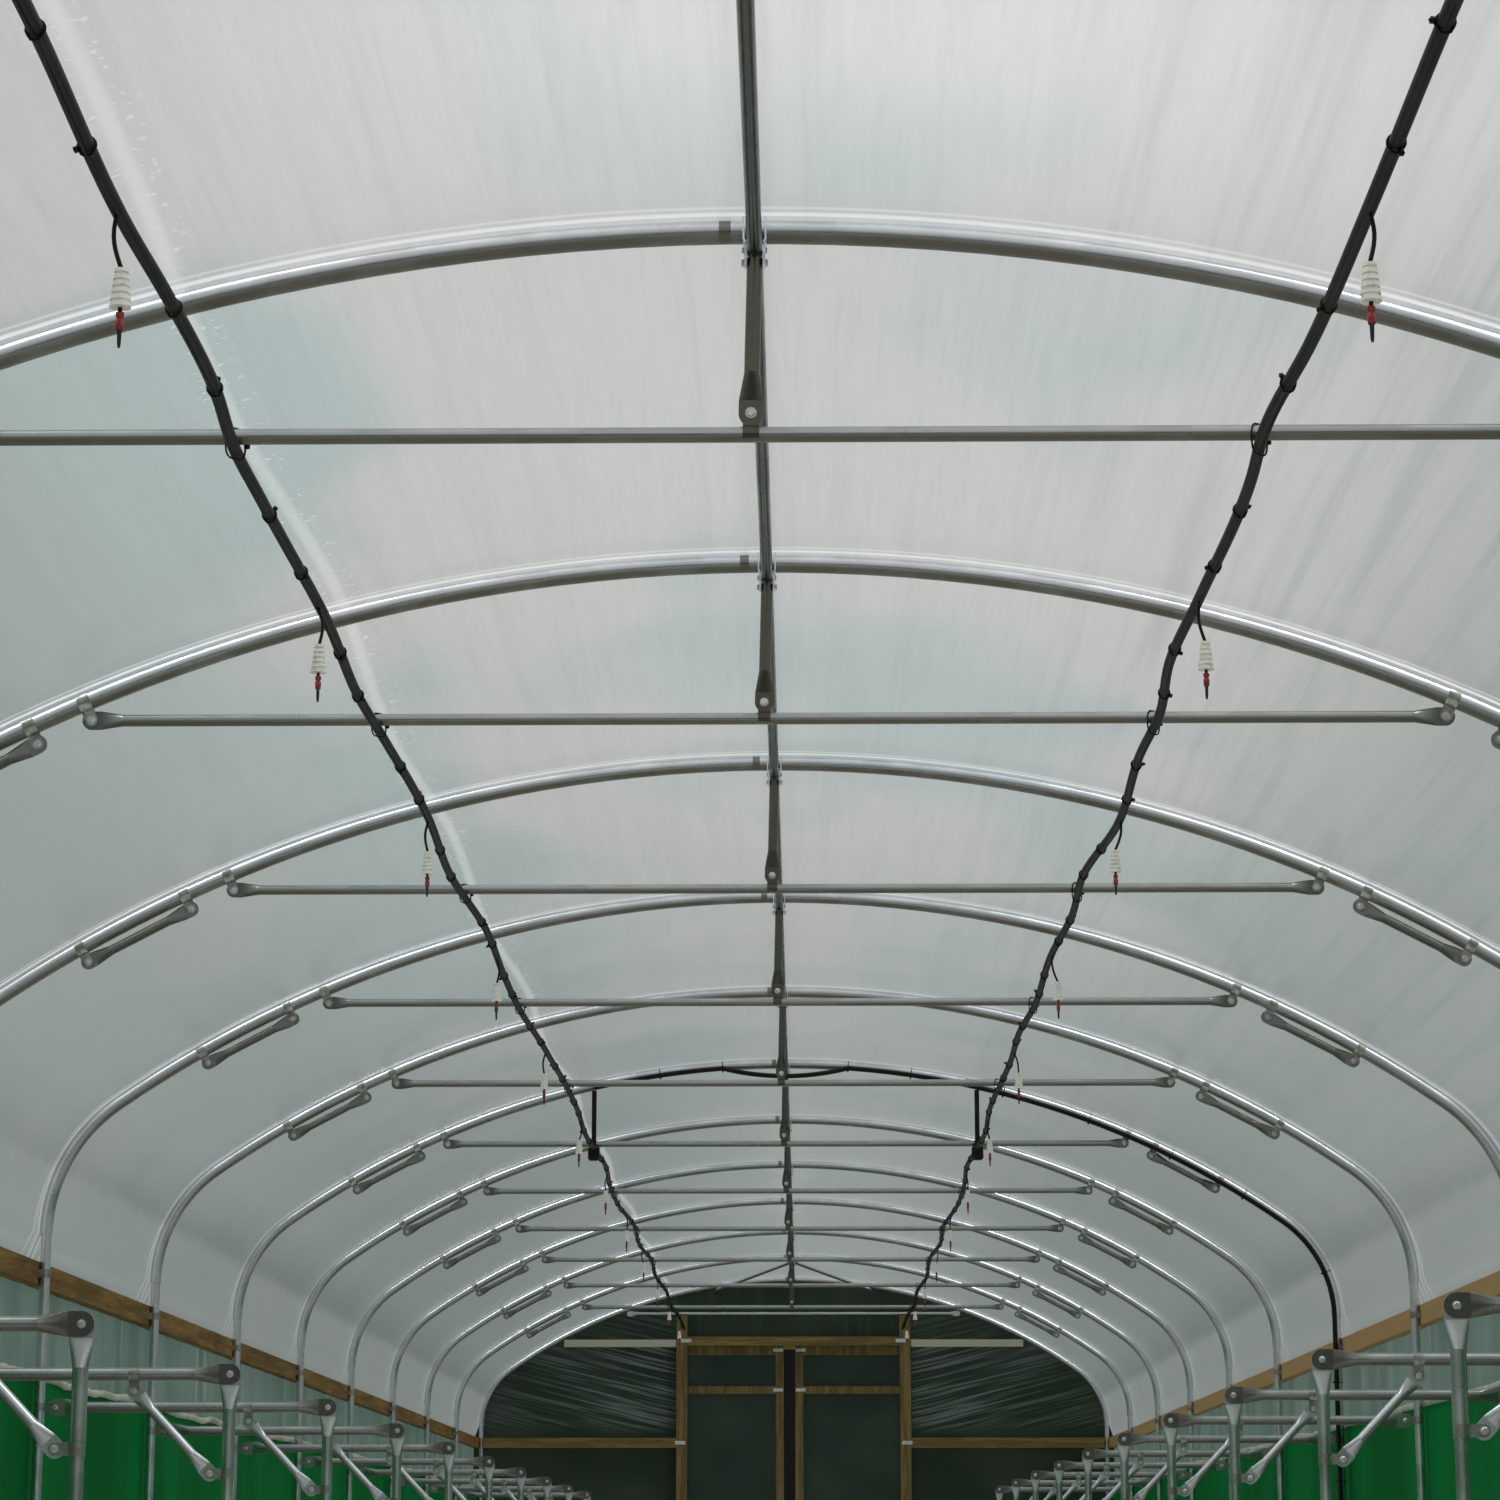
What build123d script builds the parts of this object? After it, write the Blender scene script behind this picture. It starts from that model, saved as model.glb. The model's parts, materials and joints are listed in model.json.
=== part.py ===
from build123d import *
from math import asin, atan2, cos, degrees, hypot, pi, radians, sin, sqrt
import os

# Polytunnel greenhouse: tube hoops under polythene, timber side rails and framed end walls
# with sliding doors, staging frames along both sides and two hanging watering lines.
# Millimetres. X runs across the tunnel, Y along it, Z up from the ground.

# Tunnel and hoops
bay_length = 2000.0
bay_count = 14
half_width = 2288.0
ridge_height = 2430.0
crown_radius = 3620.0
shoulder_radius = 490.0
hoop_diameter = 38.0
leg_diameter = 32.0
bow_stub = 5.0
crown_joint_offset = 38.0
splice_setback = 459.0

# Fits: how far a seated piece stands from what carries it, and the gap in line between boards
seat = 0.3
board_gap = 1.0

# Ridge, crossbars and the short posts between them
purlin_diameter = 25.0
purlin_overhang = 22.0
crossbar_diameter = 25.0
crossbar_setback = 123.0
tube_wall = 2.0
hanger_drop = 42.0
king_post_lean = 6.0
brace_span = 300.0
brace_diameter = 25.0

# Clips: a band round one tube with two lugs that hold the pressed end of another
clip_band = 2.0
clip_lug = 2.5
clip_width = 26.0
clip_opening = 0.35

# Ridge clamps: two cheeks that straddle the hoop and grip the ridge tube below it
cheek_thickness = 3.0
cheek_offset = 3.5
cheek_half_width = 27.0
cheek_grip_half_width = 14.0
cheek_tail = 14.0
cheek_top_gap = 1.0

# Timber side rails and their saddles
rail_drop = 127.0
rail_depth = 72.0
rail_thickness = 38.0
first_board_joint = 1
bays_per_board = 2
saddle_width = 25.0
saddle_plate = 2.0
saddle_flange = 20.0

# Film over the hoops and sheets down the sides
film_thickness = 3.0
hem_height = 933.0
hem_diameter = 30.0

# Staging frames beside the walkway
bench_span = 843.0
bench_height_left = 835.0
bench_height_right = 870.0
bench_tube_diameter = 33.0
bench_foot_diameter = 29.0
bench_sleeve_drop = 266.0
bench_leg_reach = 50.0
bench_brace_foot_drop = 250.0
bench_brace_foot_reach = 45.0
bench_brace_head_drop = 42.0
bench_brace_head_reach = 245.0
bench_brace_diameter = 25.0

# End walls
doorway_half = 780.0
door_post_width = 80.0
timber_thickness = 50.0
end_tube_rise = 88.0
lintel_drop = 168.0
lintel_depth = 65.0
lintel_block_depth = 25.0
lintel_block_lap = 6.0
upper_rail_drop = 9.0
upper_rail_depth = 52.0

# Sliding doors on the outer face of the end walls
leaf_width = 850.0
leaf_ground_gap = 20.0
leaf_overlap = 7.0
leaf_thickness = 38.0
leaf_stile = 59.0
leaf_top_rail = 72.0
leaf_mid_rail = 55.0
leaf_mid_drop = 354.0
leaf_wall_gap = 12.0
leaf_rest_left = 73.0
leaf_rest_right = 12.0

# Track tube, its brackets and the hangers
track_diameter = 30.0
track_short_of_leaf = 50.0
track_rise = 45.0
hanger_spread = 300.0
hanger_width = 45.0
hanger_plate = 4.0
hanger_play = 0.5
hanger_tail = 90.0
bracket_plate = 5.0
bracket_width = 30.0
bracket_inset = 40.0

# Stays of the end bays
stay_diameter = 25.0
stay_angle = 9.2

# Watering lines
pipe_diameter = 20.0
pipe_reach = 805.0
drop_place = 0.47
drop_diameter = 6.0
drop_length = 70.0
weight_length = 52.0
weight_top_diameter = 18.0
weight_bottom_diameter = 29.0
weight_ribs = 5
weight_groove = 1.5
nozzle_diameter = 16.0
nozzle_waist_diameter = 11.0
nozzle_length = 30.0
tip_diameter = 6.0
tip_length = 24.0

# Feed pipe along one hoop, with a riser and a valve over each line
feed_hoop = 8
feed_inset = 12.0
feed_tie_reach = 265.0
feed_tie_band = 1.0
valve_diameter = 50.0
valve_height = 60.0
valve_cap_diameter = 34.0
valve_cap_height = 9.0

# Worked out from the sizes above
tunnel_length = bay_length * bay_count
hoop_radius = hoop_diameter / 2
leg_radius = leg_diameter / 2
pipe_radius = pipe_diameter / 2
purlin_radius = purlin_diameter / 2
crown_centre_z = ridge_height - crown_radius
crown_angle = degrees(asin((half_width - shoulder_radius) / (crown_radius - shoulder_radius)))
shoulder_centre_x = half_width - shoulder_radius
shoulder_centre_z = crown_centre_z + (crown_radius - shoulder_radius) * cos(radians(crown_angle))
splice_angle = crown_angle - degrees(splice_setback / crown_radius)
bow_foot_z = shoulder_centre_z - bow_stub
crown_axis = Axis((0, 0, crown_centre_z), (0, 1, 0))
shoulder_axis = Axis((shoulder_centre_x, 0, shoulder_centre_z), (0, 1, 0))

# The pressed ends of the crossbars and braces lie on an arc inside the hoop
bar_radius = crown_radius - hanger_drop
brace_half_angle = degrees(asin(brace_span / 2 / bar_radius))
brace_inner_angle = splice_angle - brace_half_angle
brace_outer_angle = splice_angle + brace_half_angle
bar_angle = brace_inner_angle - degrees(crossbar_setback / bar_radius)
bar_reach = bar_radius * sin(radians(bar_angle))
bar_z = crown_centre_z + bar_radius * cos(radians(bar_angle))
bar_bottom = bar_z - crossbar_diameter / 2
purlin_z = ridge_height - hoop_radius - seat - purlin_radius
purlin_bottom = purlin_z - purlin_radius

rail_z = shoulder_centre_z - rail_drop
rail_top = rail_z + rail_depth / 2
rail_bottom = rail_z - rail_depth / 2
rail_inner = half_width + leg_radius + seat
rail_outer = rail_inner + rail_thickness

end_tube_z = bar_z + end_tube_rise
lintel_top = end_tube_z - lintel_drop
lintel_bottom = lintel_top - lintel_depth
upper_rail_bottom = lintel_bottom - upper_rail_drop
wall_middle = tunnel_length / 2
wall_face = wall_middle + timber_thickness / 2
wall_inner = wall_middle - timber_thickness / 2
wall_outer = wall_face + seat + film_thickness
post_outer = doorway_half + door_post_width

leaf_top = lintel_bottom + leaf_overlap
leaf_inner = wall_outer + leaf_wall_gap
leaf_outer = leaf_inner + leaf_thickness
leaf_middle = (leaf_inner + leaf_outer) / 2
track_z = leaf_top + track_rise
track_half = doorway_half + leaf_width - track_short_of_leaf

pipe_z = bar_bottom - pipe_radius - seat
feed_from_hoop = hoop_radius + clip_band + pipe_radius + 2 * seat
feed_offset = sqrt(feed_from_hoop**2 - feed_inset**2)
all_hoops = range(bay_count + 1)
inner_hoops = range(1, bay_count)


def hoop_y(index):
    return (index - bay_count / 2) * bay_length


def at_hoops(shape, indexes):
    return [shape.moved(Location((0, hoop_y(i), 0))) for i in indexes]


def both_sides(shapes):
    return list(shapes) + [shape.mirror(Plane.YZ) for shape in shapes]


def both_ends(shapes):
    return list(shapes) + [shape.mirror(Plane.XZ) for shape in shapes]


def sides_at_hoops(shapes, indexes):
    return [placed for shape in both_sides(shapes) for placed in at_hoops(shape, indexes)]


def crown_point(angle, radius):
    """X and Z of a point at an angle from the ridge on an arc about the crown's centre."""
    return radius * sin(radians(angle)), crown_centre_z + radius * cos(radians(angle))


def crown_reach(radius, height):
    """How far from the ridge plane an arc about the crown's centre is at a height."""
    return sqrt(radius**2 - (height - crown_centre_z) ** 2)


def pressed_half_width(diameter):
    """Half the width of a tube's end when it is pressed flat."""
    return pi * diameter / 4


def rod(start, end, diameter):
    """Round bar between two points."""
    start = Vector(*start)
    end = Vector(*end)
    plane = Plane(origin=start, z_dir=end - start)
    return extrude(plane * Circle(diameter / 2), amount=(end - start).length)


def block(x0, x1, y0, y1, z0, z1):
    """Box between two corners."""
    size = (abs(x1 - x0), abs(y1 - y0), abs(z1 - z0))
    return Pos((x0 + x1) / 2, (y0 + y1) / 2, (z0 + z1) / 2) * Box(*size)


def upright(profile, x, y):
    """Turned piece on an upright axis at X and Y, from points of radius and height."""
    face = make_face(Plane.XZ * Polyline(*profile, close=True))
    return revolve(face, axis=Axis.Z).moved(Location((x, y, 0)))


def flattened_tube(span, diameter, far_end_pressed=True):
    """Tube along +X from a bolt centre, with its ends pressed flat in the XZ plane."""
    half_flat = pressed_half_width(diameter)
    half_thickness = tube_wall
    flat_run = half_flat * 1.1
    taper = diameter * 1.8
    round_start = flat_run + taper
    tube = Plane.YZ.offset(round_start) * Circle(diameter / 2)
    pressed = Plane.YZ.offset(flat_run) * Ellipse(half_thickness, half_flat)
    tab = Circle(half_flat) + Pos(flat_run / 2, 0) * Rectangle(flat_run, 2 * half_flat)
    plate = extrude(Plane.XZ * tab, amount=half_thickness, both=True)
    end = loft([pressed.face(), tube.face()]) + plate
    if far_end_pressed:
        body = extrude(tube, amount=span - 2 * round_start)
        return body + end + end.mirror(Plane.YZ).moved(Location((span, 0, 0)))
    return extrude(tube, amount=span - round_start) + end


def between_bolts(start, end, diameter, far_end_pressed=True):
    """Pressed tube between two points given as X and Z, in a plane across the tunnel."""
    dx = end[0] - start[0]
    dz = end[1] - start[1]
    tube = flattened_tube(hypot(dx, dz), diameter, far_end_pressed)
    turned = tube.rotate(Axis.Y, -degrees(atan2(dz, dx)))
    return turned.moved(Location((start[0], 0, start[1])))


def clip(carrier_diameter, drop, shift=0.0):
    """Band round a tube along X, open above, with two lugs below for a pressed end.

    The lugs end round about the bolt, which is drop below the tube's axis. The tube may stand
    to one side of the lugs by shift.
    """
    bore = Plane.YZ * Pos(shift, 0) * Circle(carrier_diameter / 2 + seat)
    ring = Plane.YZ * Pos(shift, 0) * Circle(carrier_diameter / 2 + seat + clip_band)
    outline = Pos(0, -drop) * Circle(clip_width / 2)
    outline = outline + Pos(0, -drop / 2) * Rectangle(clip_width, drop)
    lug = extrude(Plane.XZ * outline, amount=-clip_lug)
    lug = lug.moved(Location((0, tube_wall + seat, 0)))
    body = extrude(ring, amount=clip_width / 2, both=True) + lug + lug.mirror(Plane.XZ)
    reach = carrier_diameter + abs(shift)
    opening = block(
        -clip_width, clip_width, -reach, reach, carrier_diameter * clip_opening, reach
    )
    return body - extrude(bore, amount=clip_width, both=True) - opening


def placed_clip(x, z, turn, carrier_diameter, drop, shift=0.0):
    """Clip with its band centre at X and Z, its lugs pointing down, turned about Y."""
    turned = clip(carrier_diameter, drop, shift).rotate(Axis.Y, turn)
    return turned.moved(Location((x, 0, z)))


def arc_section(diameter, radius, angle):
    """Round section across an arc about the crown's centre, at an angle from the ridge."""
    plane = Plane(origin=(0, 0, crown_centre_z + radius), z_dir=(1, 0, 0))
    return (plane * Circle(diameter / 2)).rotate(crown_axis, angle)


def crown_bow(start_angle):
    section = arc_section(hoop_diameter, crown_radius, start_angle)
    return revolve(section, axis=crown_axis, revolution_arc=splice_angle - start_angle)


def crown_then_shoulder(diameter, radius, start_angle):
    """Tube along the crown from an angle to the bend, then round the shoulder."""
    start = arc_section(diameter, radius, start_angle)
    turn = arc_section(diameter, radius, crown_angle)
    along = revolve(start, axis=crown_axis, revolution_arc=crown_angle - start_angle)
    return along + revolve(turn, axis=shoulder_axis, revolution_arc=90 - crown_angle)


def hoops():
    """Two crown bows and two shoulder bows to a hoop, standing on thinner legs."""
    lead = degrees(asin(crown_joint_offset / crown_radius))
    foot = rod((half_width, 0, shoulder_centre_z), (half_width, 0, bow_foot_z), hoop_diameter)
    shoulder = crown_then_shoulder(hoop_diameter, crown_radius, splice_angle) + foot
    leg = rod((half_width, 0, 0), (half_width, 0, bow_foot_z), leg_diameter)
    return {
        "crown_bows_left": at_hoops(crown_bow(lead).mirror(Plane.YZ), all_hoops),
        "crown_bows_right": at_hoops(crown_bow(-lead), all_hoops),
        "shoulder_bows": sides_at_hoops([shoulder], all_hoops),
        "leg_tubes": sides_at_hoops([leg], all_hoops),
    }


def ridge_clamp_cheek():
    """Right-hand cheek: beside the hoop above, joggled in to grip the ridge tube below."""
    top = ridge_height + hoop_radius - cheek_top_gap
    bottom = purlin_bottom - cheek_tail
    upper_in = purlin_radius + cheek_offset
    grip_in = purlin_radius + 2 * seat
    joggle_top = purlin_z + purlin_radius
    joggle_bottom = joggle_top - 2 * cheek_thickness
    inner = [(grip_in, bottom), (grip_in, joggle_bottom), (upper_in, joggle_top), (upper_in, top)]
    outer = [(x + cheek_thickness, z) for x, z in reversed(inner)]
    profile = make_face(Plane.XZ * Polyline(*inner, *outer, close=True))
    sheet = extrude(profile, amount=cheek_half_width, both=True)
    trim = block(
        0, upper_in + 2 * cheek_thickness, cheek_grip_half_width, 2 * cheek_half_width,
        bottom - 1, joggle_bottom,
    )
    slot = rod((0, 0, ridge_height), (2 * upper_in, 0, ridge_height), hoop_diameter + 2 * seat)
    mouth = block(
        0, 2 * upper_in, -hoop_radius - seat, hoop_radius + seat, ridge_height, top + 1
    )
    return sheet - trim - trim.mirror(Plane.XZ) - slot - mouth


def ridge_and_bars():
    purlin_end = tunnel_length / 2 + purlin_overhang
    purlin = rod((0, -purlin_end, purlin_z), (0, purlin_end, purlin_z), purlin_diameter)
    bar = between_bolts((-bar_reach, bar_z), (bar_reach, bar_z), crossbar_diameter)

    flat_half = pressed_half_width(crossbar_diameter)
    post_foot = bar_z + crossbar_diameter / 2 + clip_band + flat_half + 2 * seat
    king_post = between_bolts(
        (-king_post_lean, post_foot), (0, purlin_bottom - seat), crossbar_diameter,
        far_end_pressed=False,
    )
    foot_clip = placed_clip(-king_post_lean, bar_z, 180, crossbar_diameter, post_foot - bar_z)
    brace = between_bolts(
        crown_point(brace_inner_angle, bar_radius),
        crown_point(brace_outer_angle, bar_radius),
        brace_diameter,
    )
    clips = [
        placed_clip(*crown_point(angle, crown_radius), angle, hoop_diameter, hanger_drop)
        for angle in (bar_angle, brace_inner_angle, brace_outer_angle)
    ]
    end_reach = crown_reach(crown_radius - hoop_radius - flat_half - seat, end_tube_z)
    end_tube = between_bolts((-end_reach, end_tube_z), (end_reach, end_tube_z), crossbar_diameter)
    return {
        "ridge_purlin": [purlin],
        "ridge_clamps": sides_at_hoops([ridge_clamp_cheek()], inner_hoops),
        "crossbars": at_hoops(bar, inner_hoops),
        "king_posts": at_hoops(king_post, inner_hoops),
        "crossbar_clips": at_hoops(foot_clip, inner_hoops),
        "splice_braces": sides_at_hoops([brace], inner_hoops),
        "hoop_clips": sides_at_hoops(clips, inner_hoops),
        "end_wall_tubes": at_hoops(end_tube, (0, bay_count)),
    }


def end_bay_stays():
    """Two tubes in each end bay, from beside the ridge tube to the end hoop."""
    head_x = purlin_radius + stay_diameter / 2 + seat
    head_y = hoop_y(bay_count - 1) + 2 * cheek_half_width
    foot_radius = crown_radius - hoop_radius - stay_diameter / 2 - 2 * seat
    foot_x, foot_z = crown_point(stay_angle, foot_radius)
    stay = rod((head_x, head_y, purlin_z), (foot_x, wall_middle, foot_z), stay_diameter)
    return {"end_stays": both_ends(both_sides([stay]))}


def rail_saddle():
    """Strap round the inner side of a leg, with a flange on the timber each side of it."""
    inner = leg_radius + seat
    outer = inner + saddle_plate
    face = Pos(half_width, 0) * (
        Circle(outer) + Pos(inner / 2, 0) * Rectangle(inner, 2 * outer)
    )
    back = rail_inner - seat
    flange_y = outer + saddle_flange / 2 - saddle_plate / 2
    for y in (-flange_y, flange_y):
        face = face + Pos(back - saddle_plate / 2, y) * Rectangle(
            saddle_plate, saddle_flange + saddle_plate
        )
    bore = Pos(half_width, 0) * (Circle(inner) + Pos(outer, 0) * Rectangle(2 * outer, 2 * inner))
    behind = Pos(back + outer, 0) * Rectangle(2 * outer, 4 * outer)
    strap = face - bore - behind
    return extrude(strap, amount=saddle_width / 2, both=True).moved(Location((0, 0, rail_z)))


def side_rails():
    """Timber boards in line, joined at every second hoop, with a saddle at each leg."""
    joints = [hoop_y(i) for i in range(first_board_joint, bay_count, bays_per_board)]
    starts = [-wall_face] + joints
    finishes = joints + [wall_face]
    boards = [
        block(rail_inner, rail_outer, start, finish - board_gap, rail_bottom, rail_top)
        for start, finish in zip(starts, finishes)
    ]
    return {
        "side_rails": both_sides(boards),
        "rail_saddles": sides_at_hoops([rail_saddle()], inner_hoops),
    }


def film_cover():
    """Polythene over the hoops, down the outer face of the side rails."""
    cover_length = 2 * wall_outer
    crown_middle = ridge_height + hoop_radius + seat + film_thickness / 2
    strip = Plane.YZ * Pos(0, crown_middle) * Rectangle(cover_length, film_thickness)
    crown = revolve(strip, axis=crown_axis, revolution_arc=crown_angle)
    shoulder_strip = strip.rotate(crown_axis, crown_angle)
    shoulder = revolve(shoulder_strip, axis=shoulder_axis, revolution_arc=90 - crown_angle)

    bend_x = half_width + hoop_radius + seat
    edge_x = rail_outer + seat
    inner = [(bend_x, shoulder_centre_z), (edge_x, rail_top), (edge_x, rail_bottom)]
    outer = [(x + film_thickness, z) for x, z in reversed(inner)]
    flap_face = make_face(Plane.XZ * Polyline(*inner, *outer, close=True))
    shoulder = shoulder + extrude(flap_face, amount=cover_length / 2, both=True)
    return {
        "cover_crown_right": [crown],
        "cover_crown_left": [crown.mirror(Plane.YZ)],
        "cover_shoulder_right": [shoulder],
        "cover_shoulder_left": [shoulder.mirror(Plane.YZ)],
    }


def side_sheets():
    """Skirt from the rail to the ground, and the green sheet hung from its hem inside it."""
    skirt_x = rail_outer + seat
    skirt_top = rail_bottom - seat
    skirt = block(skirt_x, skirt_x + film_thickness, -wall_outer, wall_outer, 0, skirt_top)
    hem_x = rail_inner + hem_diameter / 2
    hem = rod((hem_x, -wall_face, hem_height), (hem_x, wall_face, hem_height), hem_diameter)
    sheet_top = hem_height - hem_diameter / 2 - seat
    sheet_x = hem_x - film_thickness / 2
    sheet = block(sheet_x, sheet_x + film_thickness, -wall_face, wall_face, 0, sheet_top)
    return {
        "skirt_right": [skirt],
        "skirt_left": [skirt.mirror(Plane.YZ)],
        "green_sheet_right": [sheet],
        "green_sheet_left": [sheet.mirror(Plane.YZ)],
        "sheet_hems": both_sides([hem]),
    }


def staging_side(bench_height):
    """One staging frame on the right-hand side of a hoop: post, bar, brace and their clips."""
    bar_end = half_width - bench_leg_reach
    reach = bar_end - bench_span
    post_shift = 2 * tube_wall + seat
    sleeve_z = bench_height - bench_sleeve_drop
    head = rod((reach, 0, sleeve_z), (reach, 0, bench_height - bench_tube_diameter), bench_tube_diameter)
    foot = rod((reach, 0, 0), (reach, 0, sleeve_z), bench_foot_diameter)
    pressed = between_bolts(
        (reach, bench_height), (reach, sleeve_z), bench_tube_diameter, far_end_pressed=False
    )
    bar = between_bolts((reach, bench_height), (bar_end, bench_height), bench_tube_diameter)
    brace = between_bolts(
        (reach + bench_brace_foot_reach, bench_height - bench_brace_foot_drop),
        (reach + bench_brace_head_reach, bench_height - bench_brace_head_drop),
        bench_brace_diameter,
    )
    clips = [
        placed_clip(half_width, bench_height, 90, leg_diameter, bench_leg_reach),
        placed_clip(
            reach + bench_brace_head_reach, bench_height, 0,
            bench_tube_diameter, bench_brace_head_drop,
        ),
        placed_clip(
            reach, bench_height - bench_brace_foot_drop, -90,
            bench_tube_diameter, bench_brace_foot_reach, post_shift,
        ),
    ]
    return {
        "bench_posts": [(pressed + foot).moved(Location((0, post_shift, 0)))],
        "bench_bars": [bar],
        "bench_braces": [brace],
        "bench_clips": clips,
    }


def staging():
    right = staging_side(bench_height_right)
    left = staging_side(bench_height_left)
    frames = {}
    for name in right:
        shapes = list(right[name]) + [shape.mirror(Plane.YZ) for shape in left[name]]
        frames[name] = [placed for shape in shapes for placed in at_hoops(shape, inner_hoops)]
    return frames


def end_wall_timber():
    post_top = end_tube_z - crossbar_diameter / 2 - seat
    post = block(doorway_half, post_outer, wall_inner, wall_face, 0, post_top)
    lintel = block(-doorway_half, doorway_half, wall_inner, wall_face, lintel_bottom, lintel_top)
    lintel = lintel + block(
        -leaf_rest_left - lintel_block_lap, leaf_rest_right + lintel_block_lap,
        wall_inner, wall_face, lintel_bottom - lintel_block_depth, lintel_bottom,
    )
    upper_top = upper_rail_bottom + upper_rail_depth
    upper_end = crown_reach(crown_radius - hoop_radius - seat, upper_top)
    upper = block(post_outer, upper_end, wall_inner, wall_face, upper_rail_bottom, upper_top)
    lower_end = half_width - leg_radius - seat
    lower = block(post_outer, lower_end, wall_inner, wall_face, rail_bottom, rail_top)
    return {
        "door_posts": both_ends(both_sides([post])),
        "lintels": both_ends([lintel]),
        "end_wall_rails": both_ends(both_sides([upper, lower])),
    }


def end_wall_film():
    """Film on the outer face of each end wall, in three pieces round the doorway."""
    top_radius = crown_radius + hoop_radius
    bend_radius = shoulder_radius + hoop_radius
    crown_top = (0, crown_centre_z + top_radius)
    crown_mid = crown_point(crown_angle / 2, top_radius)
    crown_end = crown_point(crown_angle, top_radius)
    half_turn = radians((crown_angle + 90) / 2)
    bend_mid = (
        shoulder_centre_x + bend_radius * sin(half_turn),
        shoulder_centre_z + bend_radius * cos(half_turn),
    )
    bend_end = (shoulder_centre_x + bend_radius, shoulder_centre_z)
    edges = [
        Line((0, 0), (rail_outer, 0)),
        Line((rail_outer, 0), (rail_outer, rail_top)),
        Line((rail_outer, rail_top), bend_end),
        ThreePointArc(bend_end, bend_mid, crown_end),
        ThreePointArc(crown_end, crown_mid, crown_top),
        Line(crown_top, (0, 0)),
    ]
    outline = make_face(Plane.XZ * Wire(edges))
    half = extrude(outline, amount=-film_thickness).moved(Location((0, wall_face + seat, 0)))
    beside = block(doorway_half, 2 * half_width, wall_face, 2 * wall_face, 0, ridge_height)
    above = block(0, doorway_half, wall_face, 2 * wall_face, lintel_bottom, 2 * ridge_height)
    side = half & beside
    top = half & above
    return {
        "end_film_right": both_ends([side]),
        "end_film_left": both_ends([side.mirror(Plane.YZ)]),
        "end_film_top": both_ends([top + top.mirror(Plane.YZ)]),
    }


def door_leaf():
    """Timber frame of one leaf with its inner edge at X = 0, reaching towards +X."""
    mid_bottom = leaf_top - leaf_mid_drop
    mid_top = mid_bottom + leaf_mid_rail
    low_top = leaf_ground_gap + leaf_mid_drop
    low_bottom = low_top - leaf_mid_rail
    near = leaf_stile
    far = leaf_width - leaf_stile
    panes = [
        (mid_top, leaf_top - leaf_top_rail),
        (low_top, mid_bottom),
        (leaf_ground_gap + leaf_top_rail, low_bottom),
    ]
    frame = block(0, leaf_width, leaf_inner, leaf_outer, leaf_ground_gap, leaf_top)
    sheet_y = leaf_outer - 2 * film_thickness
    sheets = []
    for low, high in panes:
        frame = frame - block(near, far, leaf_inner - 1, leaf_outer + 1, low, high)
        sheet = block(
            near + seat, far - seat, sheet_y, sheet_y + film_thickness, low + seat, high - seat
        )
        sheets.append(sheet)
    return frame, sheets


def door_hanger(x):
    """Strap on the outer face of a leaf, bent over the track tube."""
    inner = track_diameter / 2 + hanger_play
    outer = inner + hanger_plate
    ring = Circle(outer) - Circle(inner)
    above = Pos(0, outer / 2) * Rectangle(2.2 * outer, outer)
    wall_side = Pos(-outer, 0) * Rectangle(outer * 1.2, outer * 1.6)
    hook = (ring & above) - wall_side
    drop_low = -track_rise + hanger_plate
    drop = Pos((inner + outer) / 2, drop_low / 2) * Rectangle(hanger_plate, -drop_low)
    tail_in = leaf_outer - leaf_middle + seat
    tail_out = tail_in + hanger_plate
    tail_low = -track_rise - hanger_tail
    tail = Pos((tail_in + tail_out) / 2, (tail_low + drop_low) / 2)
    tail = tail * Rectangle(hanger_plate, drop_low - tail_low)
    step_in = min(tail_in, inner)
    step_out = max(tail_out, outer)
    step = Pos((step_in + step_out) / 2, drop_low + hanger_plate / 2)
    step = step * Rectangle(step_out - step_in, hanger_plate)
    plane = Plane(origin=(x, leaf_middle, track_z), x_dir=(0, 1, 0), z_dir=(1, 0, 0))
    return extrude(plane * (hook + drop + step + tail), amount=hanger_width / 2, both=True)


def door_track():
    """Track tube on brackets from the wall, in line over the leaves."""
    track = rod((-track_half, leaf_middle, track_z), (track_half, leaf_middle, track_z), track_diameter)
    arm_top = track_z - track_diameter / 2 - seat
    arm_bottom = arm_top - bracket_plate
    plate_in = wall_outer + seat
    plate_out = plate_in + bracket_plate
    pieces = []
    for x in (doorway_half + bracket_inset, track_half - bracket_inset):
        x0 = x - bracket_width / 2
        x1 = x + bracket_width / 2
        arm = block(x0, x1, plate_in, leaf_middle, arm_bottom, arm_top)
        pieces.append(arm + block(x0, x1, plate_in, plate_out, upper_rail_bottom, arm_top))
    return [track] + both_sides(pieces)


def doors():
    frame, sheets = door_leaf()
    hangers = [door_hanger(leaf_width / 2 + offset) for offset in (-hanger_spread, hanger_spread)]
    groups = {"door_leaf": [frame], "door_film": sheets, "door_hangers": hangers}
    near_names = {
        "door_leaf": "near_door_leaves",
        "door_film": "near_door_film",
        "door_hangers": "near_door_hangers",
    }
    nodes = {"door_tracks": both_ends(door_track())}
    for name, shapes in groups.items():
        right = [shape.moved(Location((leaf_rest_right, 0, 0))) for shape in shapes]
        left = [shape.moved(Location((leaf_rest_left, 0, 0))).mirror(Plane.YZ) for shape in shapes]
        nodes[name + "_right"] = right
        nodes[name + "_left"] = left
        nodes[near_names[name]] = [shape.mirror(Plane.XZ) for shape in right + left]
    return nodes


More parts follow.
